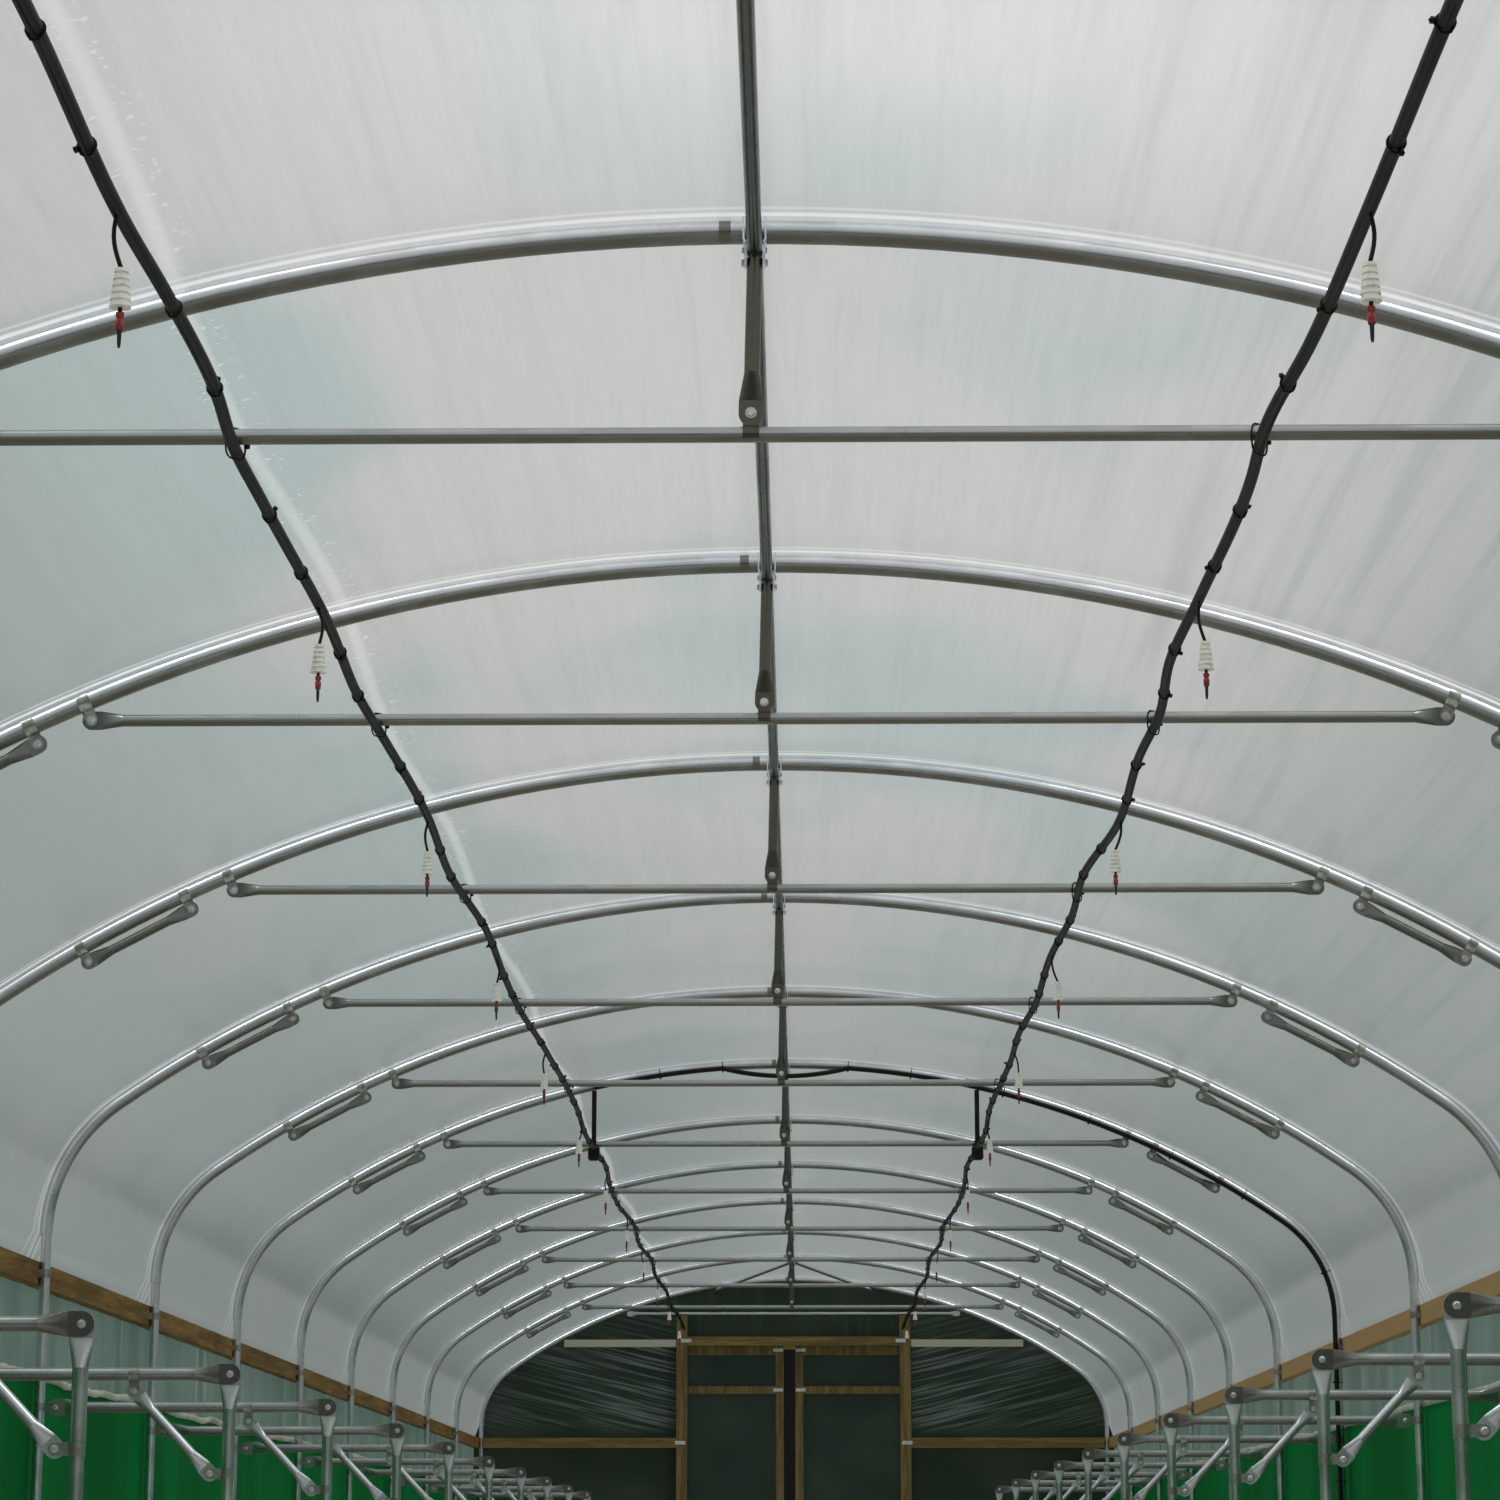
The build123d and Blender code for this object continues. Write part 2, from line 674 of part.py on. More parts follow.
def sprinkler():
    """Drop tube, ribbed weight and nozzle with its tip, hanging from the right-hand line."""
    tube_top = pipe_z - pipe_radius - seat
    weight_top = tube_top - drop_length
    weight_bottom = weight_top - weight_length
    nozzle_top = weight_bottom - seat
    drop = rod((pipe_reach, 0, tube_top), (pipe_reach, 0, weight_top + seat), drop_diameter)

    top_radius = weight_top_diameter / 2
    grow = (weight_bottom_diameter - weight_top_diameter) / 2 / weight_length
    rib = weight_length / (2 * weight_ribs + 1)
    profile = [(0, weight_top)]
    for step in range(2 * weight_ribs + 1):
        inset = weight_groove if step % 2 else 0
        for depth in (step * rib, (step + 1) * rib):
            profile.append((top_radius + grow * depth - inset, weight_top - depth))
    profile.append((0, weight_bottom))
    weight = upright(profile, pipe_reach, 0)

    waist_top = nozzle_top - nozzle_length * 0.3
    waist_bottom = nozzle_top - nozzle_length * 0.45
    nozzle_bottom = nozzle_top - nozzle_length
    wide = nozzle_diameter / 2
    waist = nozzle_waist_diameter / 2
    nozzle = upright(
        [
            (0, nozzle_top), (wide, nozzle_top), (wide, waist_top), (waist, waist_top),
            (waist, waist_bottom), (wide, waist_bottom), (waist, nozzle_bottom),
            (tip_diameter / 2, nozzle_bottom), (tip_diameter / 2, nozzle_bottom - tip_length),
            (0, nozzle_bottom - tip_length),
        ],
        pipe_reach, 0,
    )
    return {"drop_tubes": drop, "drop_weights": weight, "drop_nozzles": nozzle}


def feed_line():
    """Feed pipe from a riser over the left line, under the ridge tube and down the right leg."""
    radius = crown_radius - feed_inset
    lead = degrees(asin(pipe_reach / radius))
    tie_angle = degrees(asin(feed_tie_reach / radius))
    tie_z = crown_point(tie_angle, radius)[1]
    dip_z = purlin_bottom - seat - pipe_radius
    sag = tie_z - dip_z
    dip_radius = (feed_tie_reach**2 + sag**2) / (2 * sag)
    dip_angle = degrees(asin(feed_tie_reach / dip_radius))
    dip_axis = Axis((0, 0, dip_z + dip_radius), (0, -1, 0))
    bottom = Plane(origin=(0, 0, dip_z), z_dir=(1, 0, 0)) * Circle(pipe_radius)
    dip = revolve(bottom.rotate(dip_axis, -dip_angle), axis=dip_axis, revolution_arc=2 * dip_angle)
    left_start = arc_section(pipe_diameter, radius, -lead)
    left = revolve(left_start, axis=crown_axis, revolution_arc=lead - tie_angle)
    right = crown_then_shoulder(pipe_diameter, radius, tie_angle)
    down_x = half_width - feed_inset
    down = rod((down_x, 0, shoulder_centre_z), (down_x, 0, 0), pipe_diameter)
    knee = Pos(feed_tie_reach, 0, tie_z) * Sphere(pipe_radius + feed_tie_band)
    pipe = dip + left + (right + down) + knee + knee.mirror(Plane.YZ)
    outer_edge = degrees(asin((pipe_reach + pipe_radius) / (radius - pipe_radius)))
    return pipe, crown_point(outer_edge, radius - pipe_radius)[1] - seat


def watering():
    """Two lines tied under the crossbars, a sprinkler in each bay, and the feed with its valves."""
    feed_y = hoop_y(feed_hoop) - feed_offset
    feed, riser_top = feed_line()
    valve_top = pipe_z + pipe_radius
    valve_bottom = valve_top - valve_height
    shoulder = valve_bottom + valve_cap_height
    wide = valve_diameter / 2
    narrow = valve_cap_diameter / 2
    valve = upright(
        [
            (0, valve_top), (narrow, valve_top), (wide, valve_top - valve_cap_height),
            (wide, shoulder), (narrow, valve_bottom), (0, valve_bottom),
        ],
        pipe_reach, feed_y,
    )
    riser = rod((pipe_reach, feed_y, valve_top + seat), (pipe_reach, feed_y, riser_top), pipe_diameter)
    pipe_end = wall_inner - timber_thickness / 2
    near = rod((pipe_reach, -pipe_end, pipe_z), (pipe_reach, feed_y - wide - seat, pipe_z), pipe_diameter)
    far = rod((pipe_reach, feed_y + wide + seat, pipe_z), (pipe_reach, pipe_end, pipe_z), pipe_diameter)
    nodes = {
        "pipe_right": [near, far],
        "pipe_left": [near.mirror(Plane.YZ), far.mirror(Plane.YZ)],
        "feed_pipe": [feed.moved(Location((0, feed_y, 0)))],
        "feed_risers": both_sides([riser]),
        "feed_valves": both_sides([valve]),
    }
    places = [hoop_y(i + drop_place) for i in range(bay_count)]
    for name, piece in sprinkler().items():
        nodes[name] = [
            shape.moved(Location((0, y, 0))) for y in places for shape in both_sides([piece])
        ]
    return nodes


nodes = {}
for group in (
    hoops(),
    ridge_and_bars(),
    end_bay_stays(),
    side_rails(),
    film_cover(),
    side_sheets(),
    staging(),
    end_wall_timber(),
    end_wall_film(),
    doors(),
    watering(),
):
    nodes.update(group)

os.makedirs("parts", exist_ok=True)
for name, shapes in nodes.items():
    solids = [solid for shape in shapes for solid in shape.solids()]
    export_step(Compound(children=solids), os.path.join("parts", name + ".step"))
    print(name, len(solids), "solids")
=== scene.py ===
"""Looks of the polytunnel greenhouse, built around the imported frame. Metres, the frame's axes."""
import json
import math
import random
from functools import partialmethod

import bpy
import numpy as np
from mathutils import Matrix, Vector


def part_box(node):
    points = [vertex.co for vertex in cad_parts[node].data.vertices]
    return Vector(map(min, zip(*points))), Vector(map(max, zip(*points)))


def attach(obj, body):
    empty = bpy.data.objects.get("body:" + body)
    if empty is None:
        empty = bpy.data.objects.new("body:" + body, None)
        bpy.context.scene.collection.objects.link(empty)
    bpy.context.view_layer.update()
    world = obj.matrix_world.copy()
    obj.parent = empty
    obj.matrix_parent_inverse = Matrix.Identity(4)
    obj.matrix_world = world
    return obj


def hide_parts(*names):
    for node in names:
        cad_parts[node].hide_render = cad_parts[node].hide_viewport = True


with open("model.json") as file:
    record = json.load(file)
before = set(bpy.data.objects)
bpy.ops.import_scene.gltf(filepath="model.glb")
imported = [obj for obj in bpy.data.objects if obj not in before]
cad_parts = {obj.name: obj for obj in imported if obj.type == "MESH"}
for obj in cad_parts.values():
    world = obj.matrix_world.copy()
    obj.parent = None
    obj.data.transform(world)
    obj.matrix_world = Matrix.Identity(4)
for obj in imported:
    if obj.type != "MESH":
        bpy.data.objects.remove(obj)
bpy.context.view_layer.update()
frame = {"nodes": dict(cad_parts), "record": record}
BODY = "tunnel"

# Places and sizes taken from the frame
cover_low, cover_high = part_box("cover_crown_right")
rail_low, rail_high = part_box("side_rails")
skirt_low, skirt_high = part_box("skirt_right")
sheet_low, sheet_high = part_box("green_sheet_right")
hem_low, hem_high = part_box("sheet_hems")
wall_film_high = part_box("end_film_top")[1]
post_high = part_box("door_posts")[1]
lintel_low, lintel_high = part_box("lintels")
wall_rail_low, wall_rail_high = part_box("end_wall_rails")
bar_low, bar_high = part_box("crossbars")
pipe_low, pipe_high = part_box("pipe_right")
brace_low, brace_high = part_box("splice_braces")
bench_low, bench_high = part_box("bench_bars")
purlin_low, purlin_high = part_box("ridge_purlin")
leaf_low, leaf_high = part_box("door_leaf_right")
nozzle_low, nozzle_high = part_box("drop_nozzles")
valve_low, valve_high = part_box("feed_valves")
RED_TOP = nozzle_high.z - 0.006
RED_BOTTOM = nozzle_low.z + 0.024
FEED_Y = (valve_low.y + valve_high.y) / 2
BAR_Z = (bar_low.z + bar_high.z) / 2

# The tunnel's own sizes
BAY = 2.0
BAYS = 14
HALF_LENGTH = BAY * BAYS / 2
RIDGE = 2.43
HALF_WIDTH = 2.288
CROWN_RADIUS = 3.62
SHOULDER_RADIUS = 0.49
HOOP_RADIUS = 0.019
LEG_RADIUS = 0.016
BAR_TUBE_RADIUS = 0.0125
BENCH_TUBE_RADIUS = 0.0165
PIPE_RADIUS = 0.010
FILM_THICKNESS = 0.003
CROWN_CENTRE = RIDGE - CROWN_RADIUS
SHOULDER_X = HALF_WIDTH - SHOULDER_RADIUS
CROWN_ANGLE = math.asin(SHOULDER_X / (CROWN_RADIUS - SHOULDER_RADIUS))
SHOULDER_Z = CROWN_CENTRE + (CROWN_RADIUS - SHOULDER_RADIUS) * math.cos(CROWN_ANGLE)
ALL_HOOPS = [(i - BAYS / 2) * BAY for i in range(BAYS + 1)]
INNER_HOOPS = ALL_HOOPS[1:-1]

# The photo's camera
CAMERA_PLACE = (0.072, -13.600, 0.350)
CAMERA_PITCH = 0.217
CAMERA_YAW = 0.0142
FOCAL_LENGTH = 89.06
SENSOR = 36.0

# Film and sheets: their gap to the hoops, and how far they leave an even shape
FILM_CLEAR = 0.0006
FILM_SAG = 0.007
PLEAT_DEPTH = 0.0028
BILLOW_DEPTH = 0.0022
CREASE_DEPTH = 0.002
CREASE_PLACE = 0.91
CREASE_WIDTH = 0.02
DRAWN_TOP = 1.62
SKIRT_FOLD = 0.0035
GREEN_FOLD = 0.0045
SHEET_LAP = 0.004
HEM_RADIUS = 0.012
HEM_SWELL = 0.0016
HEM_SAG = 0.010
HEM_SWAY = 0.004
WALL_FOLD = 0.004
WALL_BULGE = 0.003
LEAF_FOLD = 0.0007

# Colours of the tubes, and where along X their dark joint lies and their burnt ends fade out
# Zinc with a painted reflection of blue sky in its bluish tint
SKY_TINTED_ZINC = (0.70, 0.72, 0.76)
# Brown of the painted shade and dirt under the tubes
UNDER_SHADE_AND_DIRT = (0.108, 0.094, 0.064)
BURNT = (0.13, 0.12, 0.10)
JOINT_DARK = (0.10, 0.09, 0.07)
FADE = 0.002
CROWN_JOINT = (-0.058, -0.034)
BAR_BURN = (bar_high.x - 0.03, bar_high.x - 0.09)
BENCH_BURN = (1.44, 1.52)


class Shader:
    """A material's node tree with short calls for the nodes used here."""

    def __init__(self, name):
        self.material = bpy.data.materials.new(name)
        self.material.use_nodes = True
        self.tree = self.material.node_tree
        self.tree.nodes.clear()
        self.output = self.add("ShaderNodeOutputMaterial")
        self.place = self.add("ShaderNodeTexCoord").outputs["Object"]
        self.x, self.y, self.z = self.add("ShaderNodeSeparateXYZ", {0: self.place}).outputs

    def add(self, kind, inputs=None, **settings):
        """A new node with its settings, and its inputs by name or number."""
        node = self.tree.nodes.new(kind)
        for name, value in settings.items():
            setattr(node, name, value)
        for name, value in (inputs or {}).items():
            self.put(node.inputs[name], value)
        return node

    def put(self, target, value):
        """Sets a socket to a plain value or links another socket to it."""
        if isinstance(value, bpy.types.NodeSocket):
            self.tree.links.new(value, target)
        elif isinstance(value, tuple) and len(value) == 3 and target.type == "RGBA":
            target.default_value = (*value, 1.0)
        else:
            target.default_value = value

    def noise(self, scale, detail=2.0, roughness=0.5, stretch=(1, 1, 1), place=None):
        drawn = self.add("ShaderNodeMapping", {"Vector": place or self.place, "Scale": stretch})
        node = self.add("ShaderNodeTexNoise", {
            "Vector": drawn.outputs["Vector"], "Scale": scale, "Detail": detail,
            "Roughness": roughness,
        })
        return node.outputs["Fac"]

    def ramp(self, value, low, high, out_low=0.0, out_high=1.0):
        """Smooth step of a value between two ends, which may run either way."""
        inputs = {
            "Value": value, "From Min": low, "From Max": high, "To Min": out_low, "To Max": out_high,
        }
        node = self.add("ShaderNodeMapRange", inputs, interpolation_type="SMOOTHSTEP")
        return node.outputs["Result"]

    def maths(self, operation, a, b=0.0):
        return self.add("ShaderNodeMath", {0: a, 1: b}, operation=operation).outputs[0]

    times = partialmethod(maths, "MULTIPLY")
    plus = partialmethod(maths, "ADD")
    minus = partialmethod(maths, "SUBTRACT")
    larger = partialmethod(maths, "MAXIMUM")
    size = partialmethod(maths, "ABSOLUTE")

    def mix(self, factor, a, b):
        inputs = {"Factor": factor, "A": a, "B": b}
        return self.add("ShaderNodeMix", inputs, data_type="RGBA").outputs["Result"]

    def facing_down(self, start, full):
        """How far a surface looks down, from 0 to 1."""
        normal = self.add("ShaderNodeNewGeometry").outputs["Normal"]
        up = self.add("ShaderNodeSeparateXYZ", {0: normal}).outputs["Z"]
        return self.ramp(self.times(up, -1.0), start, full)

    def two_faced(self, inner, outer):
        """A colour or number on a sheet's inner face, which is the mesh's front, and its outer."""
        back = self.add("ShaderNodeNewGeometry").outputs["Backfacing"]
        if isinstance(inner, float):
            return self.ramp(back, 0.0, 1.0, inner, outer)
        return self.mix(back, inner, outer)

    def bump(self, height, strength, distance):
        inputs = {"Height": height, "Strength": strength, "Distance": distance}
        return self.add("ShaderNodeBump", inputs).outputs["Normal"]

    def principled(self, colour, roughness, metallic=0.0, normal=None, **sockets):
        inputs = {"Base Color": colour, "Roughness": roughness, "Metallic": metallic}
        if normal is not None:
            inputs["Normal"] = normal
        inputs.update((name.replace("_", " "), value) for name, value in sockets.items())
        return self.add("ShaderNodeBsdfPrincipled", inputs).outputs["BSDF"]

    def finish(self, surface):
        self.put(self.output.inputs["Surface"], surface)
        return self.material


# Materials
def shaded(colour, share):
    return tuple(c * share for c in colour)


def tube_metal(name, bright, under, pressed=None, ring=None):
    """Zinc on steel tube, bright on top and darker brown underneath with painted shade and dirt.

    Pressed is where along X the burnt ends fade out, and ring is where a dark joint lies.
    """
    s = Shader(name)
    patches = s.noise(7.0, 2.0, 0.6)
    zinc = s.mix(s.ramp(patches, 0.35, 0.7), shaded(bright, 0.90), bright)
    spangle = s.noise(75.0, 1.0)
    zinc = s.mix(s.ramp(spangle, 0.40, 0.66, 0.0, 0.07), zinc, shaded(bright, 0.55))
    if pressed:
        burnt = s.ramp(s.size(s.x), *pressed, 0.9, 0.0)
        burnt = s.times(burnt, s.ramp(patches, 0.3, 0.5, 0.75, 1.0))
        zinc = s.mix(burnt, zinc, BURNT)
    if ring:
        start, end = ring
        band = s.times(s.ramp(s.x, start, start + FADE), s.ramp(s.x, end, end + FADE, 0.8, 0.0))
        zinc = s.mix(band, zinc, JOINT_DARK)
    # Painted shade with dirt: darker brown where the tube faces down
    shade_and_dirt = s.times(s.facing_down(-0.10, 0.60), s.ramp(patches, 0.3, 0.55, 0.85, 0.96))
    colour = s.mix(shade_and_dirt, zinc, under)
    metallic = s.ramp(shade_and_dirt, 0.0, 1.0, 0.92, 0.30)
    return s.finish(s.principled(colour, s.ramp(patches, 0.3, 0.7, 0.24, 0.32), metallic))


def bright_zinc(name, bright, dull):
    """Pressed clips and hangers, brighter than the tube, with dull edges and specks of rust."""
    s = Shader(name)
    patches = s.noise(40.0, 2.0)
    colour = s.mix(s.ramp(patches, 0.35, 0.65), bright, dull)
    rust = s.ramp(s.noise(130.0, 2.0, 0.7), 0.62, 0.74, 0.0, 0.6)
    colour = s.mix(rust, colour, (0.22, 0.13, 0.07))
    return s.finish(s.principled(colour, s.ramp(patches, 0.3, 0.7, 0.25, 0.45), 0.85))


def along_grain(axis, lengthways, across):
    """A noise stretch that draws the noise out along one axis."""
    return tuple(lengthways if name == axis else across for name in "XYZ")


def timber(name, light, dark, along, board=None, weathered=None):
    """Rough sawn softwood with its grain along one axis.

    Board is the length of one board, each with a tone of its own. Weathered is the height and the
    distance from the middle beyond which the wood is paler, and that paler colour.
    """
    s = Shader(name)
    grain = s.noise(4.0, 2.0, 0.65, stretch=along_grain(along, 2.2, 40.0))
    bands = s.noise(3.0, 2.0, 0.6, stretch=along_grain(along, 0.6, 9.0))
    colour = s.mix(s.ramp(bands, 0.35, 0.65), light, dark)
    colour = s.mix(s.ramp(grain, 0.48, 0.68, 0.0, 0.55), colour, shaded(dark, 0.45))
    if board:
        step = s.maths("FLOOR", s.maths("DIVIDE", s.plus(s.y, HALF_LENGTH - BAY), board))
        side = s.times(s.maths("SIGN", s.x), 17.3)
        white = s.add("ShaderNodeTexWhiteNoise", {"W": s.plus(step, side)}, noise_dimensions="1D")
        own = white.outputs["Value"]
        colour = s.mix(s.ramp(own, 0.55, 0.75, 0.0, 0.45), colour, (0.28, 0.105, 0.035))
        colour = s.mix(s.ramp(own, 0.0, 0.4, 0.35, 0.0), colour, (0.12, 0.10, 0.035))
        # Painted light: the right side's boards are paler, as more light falls on that side
        right = s.maths("GREATER_THAN", s.x, 0.0)
        colour = s.mix(s.times(right, 0.60), colour, (0.52, 0.33, 0.15))
    if weathered:
        low, start, pale = weathered
        high_up = s.ramp(s.z, low, low + 0.02)
        spot = s.times(high_up, s.ramp(s.size(s.x), start, start + 0.01))
        colour = s.mix(s.times(spot, 0.8), colour, pale)
    normal = s.bump(grain, 0.4, 0.0015)
    return s.finish(s.principled(colour, 0.8, 0.0, normal, Specular_IOR_Level=0.2))


def sheet_shader(s, colour, share, clear, normal, roughness, gloss):
    """Polythene: some light comes back and a share of it comes through.

    Clear is how much of a lamp's direct light reaches what is inside.
    """
    front = s.principled(colour, roughness, 0.0, normal, Specular_IOR_Level=gloss)
    through = s.add("ShaderNodeBsdfTranslucent", {"Color": colour}).outputs[0]
    body = s.add("ShaderNodeMixShader", {0: share, 1: front, 2: through}).outputs[0]
    open_way = s.add("ShaderNodeBsdfTransparent", {"Color": clear}).outputs[0]
    shadow = s.add("ShaderNodeLightPath").outputs["Is Shadow Ray"]
    choice = s.add("ShaderNodeMixShader", {0: shadow, 1: body, 2: open_way})
    return s.finish(choice.outputs[0])


def roof_film():
    """Diffusing polythene with flow streaks, creases and painted highlight lines, and painted shade
    that greys it towards the sides, the left and the far end, with a painted glow on the crown.
    """
    s = Shader("roof_polythene")
    clouds = s.noise(1.1, 2.0, 0.45, stretch=(1.0, 0.6, 1.0))
    # Random warm and cool tones, with painted shade that makes the left side cooler and darker
    tone_and_left_shade = s.minus(clouds, s.times(s.x, 0.055))
    colour = s.mix(s.ramp(tone_and_left_shade, 0.40, 0.60), (0.73, 0.72, 0.72), (0.545, 0.64, 0.645))
    # Painted shade: greyer towards the sides
    colour = s.mix(s.ramp(s.size(s.x), 0.75, 1.80, 0.0, 0.75), colour, (0.385, 0.425, 0.415))
    # Painted shade: darker towards the far end
    colour = s.mix(s.ramp(s.y, -9.5, 4.0, 0.0, 0.82), colour, (0.275, 0.315, 0.31))
    # Painted glow of light along the crown, most of all towards the near end
    beside = s.size(s.minus(s.x, 0.22))
    clear = s.ramp(s.y, -8.9, -7.9, 1.0, 0.15)
    clear = s.times(clear, s.ramp(beside, 0.15, 1.25, 1.0, 0.12))
    colour = s.mix(clear, colour, (0.92, 0.92, 0.925))
    flow = s.noise(1.0, 3.0, 0.7, stretch=(15.0, 0.30, 15.0))
    share = s.ramp(s.x, 0.3, 1.4, 0.10, 0.34)
    colour = s.mix(s.times(s.ramp(flow, 0.42, 0.72), share), colour, (0.28, 0.36, 0.34))
    fine = s.noise(1.0, 2.0, 0.65, stretch=(80.0, 3.0, 80.0))
    colour = s.mix(s.ramp(fine, 0.35, 0.70, 0.0, 0.06), colour, (0.26, 0.31, 0.305))
    # Paler where the film is doubled above the rails
    ragged = s.times(s.noise(17.0, 2.0, 0.7, stretch=(1.0, 1.0, 0.5)), 0.05)
    edge = s.plus(s.z, ragged)
    colour = s.mix(s.ramp(edge, 1.570, 1.635, 0.24, 0.0), colour, (0.80, 0.85, 0.85))
    # Painted highlight along a crease on the left half, with small pale crumbs beside it
    wander = s.times(s.maths("SINE", s.times(s.y, 2.3)), 0.015)
    off = s.size(s.plus(s.x, s.plus(wander, CREASE_PLACE)))
    crumbs = s.times(s.ramp(s.noise(60.0, 1.0), 0.63, 0.70), s.ramp(off, 0.02, 0.07, 0.5, 0.0))
    crease = s.larger(s.ramp(off, 0.004, 0.020, 0.36, 0.0), crumbs)
    colour = s.mix(crease, colour, (0.98, 1.0, 1.0))
    # Painted highlights where the film bends off each hoop and along short drawn folds beside the
    # legs, fainter towards the far end
    hoop = s.maths("PINGPONG", s.y, BAY / 2)
    first = s.times(s.ramp(hoop, 0.018, 0.024), s.ramp(hoop, 0.034, 0.042, 0.85, 0.0))
    second = s.times(s.ramp(hoop, 0.050, 0.056), s.ramp(hoop, 0.060, 0.068, 0.45, 0.0))
    fan = s.minus(hoop, s.times(s.minus(DRAWN_TOP, s.z), 0.30))
    drawn = s.ramp(s.size(s.minus(fan, 0.03)), 0.003, 0.014, 0.40, 0.0)
    drawn = s.times(drawn, s.ramp(s.z, DRAWN_TOP - 0.08, DRAWN_TOP, 1.0, 0.0))
    lines = s.times(s.larger(first, second), s.ramp(s.y, -8.0, 6.0, 1.0, 0.35))
    gloss = s.larger(lines, drawn)
    colour = s.mix(gloss, colour, (1.0, 1.0, 1.0))
    # Milky from outside, with the hoops' shadows painted faintly where the film lies on them
    outer = s.mix(s.ramp(clouds, 0.38, 0.62), (0.80, 0.81, 0.81), (0.735, 0.765, 0.76))
    outer = s.mix(s.ramp(hoop, 0.010, 0.024, 0.40, 0.0), outer, (0.50, 0.51, 0.51))
    colour = s.two_faced(colour, outer)
    share = s.two_faced(0.59, 0.30)
    roughness = s.two_faced(0.22, 0.46)
    return sheet_shader(s, colour, share, (0.60, 0.625, 0.62), None, roughness, 0.6)


def wall_film():
    """Dark green sheeting of the end walls, drawn into pale folds that fan out from the door posts;
    its inner face is darker still with painted shade.
    """
    s = Shader("end_sheeting")
    reach = s.size(s.x)
    clouds = s.noise(1.7, 1.0)
    # Painted shade: very dark on the inner face, paler outside
    colour = s.mix(s.ramp(clouds, 0.35, 0.7), (0.019, 0.034, 0.020), (0.034, 0.049, 0.035))
    rise = s.minus(s.z, s.times(reach, 0.24))
    fan = {0: s.times(reach, 1.3), 1: s.y, 2: s.times(rise, 58.0)}
    folds = s.noise(1.0, 2.0, 0.6, place=s.add("ShaderNodeCombineXYZ", fan).outputs[0])
    panel = s.times(s.ramp(s.z, 1.30, 1.42), s.ramp(reach, 0.84, 0.88))
    panel = s.times(panel, s.ramp(reach, 1.0, 2.0, 1.0, 0.45))
    gable = s.ramp(s.z, 1.96, 2.02, 1.0, 0.35)
    pale = s.times(s.ramp(folds, 0.44, 0.68, 0.0, 0.8), s.times(panel, gable))
    colour = s.mix(pale, colour, (0.21, 0.245, 0.225))
    upright = s.noise(1.0, 1.0, stretch=(14.0, 1.0, 1.2))
    green = s.times(s.ramp(upright, 0.5, 0.7, 0.0, 0.6), s.ramp(s.z, 1.96, 2.02))
    colour = s.mix(green, colour, (0.027, 0.062, 0.030))
    colour = s.two_faced(colour, s.mix(0.6, colour, (0.20, 0.235, 0.21)))
    normal = s.bump(folds, 0.25, 0.006)
    return sheet_shader(s, colour, 0.30, (0.06, 0.085, 0.07), normal, 0.3, 0.3)


def door_film():
    """Dark smooth sheeting of the door leaves, darker still on the inner face with painted shade."""
    s = Shader("door_sheeting")
    clouds = s.noise(2.3, 1.0)
    # Painted shade: very dark on the inner face, paler outside
    colour = s.mix(s.ramp(clouds, 0.35, 0.7), (0.022, 0.037, 0.025), (0.036, 0.053, 0.039))
    colour = s.two_faced(colour, s.mix(0.6, colour, (0.17, 0.20, 0.18)))
    return sheet_shader(s, colour, 0.2, (0.04, 0.05, 0.04), None, 0.3, 0.35)


def skirt_film():
    """Pale green sheeting, creased up and down, darker inside with painted shade, and painted light on
    the crease crests and in bright streaks.
    """
    s = Shader("skirt_sheeting")
    creases = s.noise(1.4, 2.0, 0.55, stretch=(1.0, 2.6, 0.7))
    # Painted light and shade of the creases: lighter crests, darker folds between
    painted_crease_light = s.ramp(creases, 0.30, 0.68)
    colour = s.mix(painted_crease_light, (0.125, 0.200, 0.17), (0.190, 0.275, 0.240))
    # Painted highlights: bright upright streaks
    bright = s.ramp(s.noise(2.0, 2.0, 0.6, stretch=(1.0, 6.0, 0.6)), 0.60, 0.74, 0.0, 0.4)
    colour = s.mix(bright, colour, (0.42, 0.51, 0.47))
    # Painted shade: darker on the inner face than outside
    colour = s.two_faced(colour, s.mix(painted_crease_light, (0.34, 0.45, 0.40), (0.46, 0.57, 0.52)))
    return sheet_shader(s, colour, s.two_faced(0.58, 0.30), (0.22, 0.32, 0.26), None, 0.3, 0.4)


def green_sheet():
    """Strong green sheeting with soft upright folds."""
    s = Shader("green_sheeting_look")
    folds = s.noise(1.3, 1.0, stretch=(1.0, 1.6, 0.5))
    colour = s.mix(s.ramp(folds, 0.30, 0.70), (0.0, 0.135, 0.026), (0.0, 0.205, 0.044))
    return sheet_shader(s, colour, 0.3, (0.01, 0.12, 0.05), None, 0.7, 0.05)


def beige_hem():
    """Rolled hem of woven tape, soiled in patches."""
    s = Shader("beige_hem")
    dirt = s.noise(7.0, 2.0, 0.65)
    weave = s.noise(160.0, 1.0)
    colour = s.mix(s.ramp(dirt, 0.4, 0.7), (0.56, 0.54, 0.46), (0.34, 0.34, 0.27))
    colour = s.mix(s.ramp(weave, 0.4, 0.65, 0.0, 0.3), colour, (0.25, 0.26, 0.20))
    return s.finish(s.principled(colour, 0.75, 0.0, s.bump(weave, 0.5, 0.001)))


def speckled(name, noise, spread, light, dark, roughness, metallic=0.0, **sockets):
    """A plain surface that varies between two colours with one noise."""
    s = Shader(name)
    colour = s.mix(s.ramp(s.noise(*noise), *spread), light, dark)
    return s.finish(s.principled(colour, roughness, metallic, **sockets))


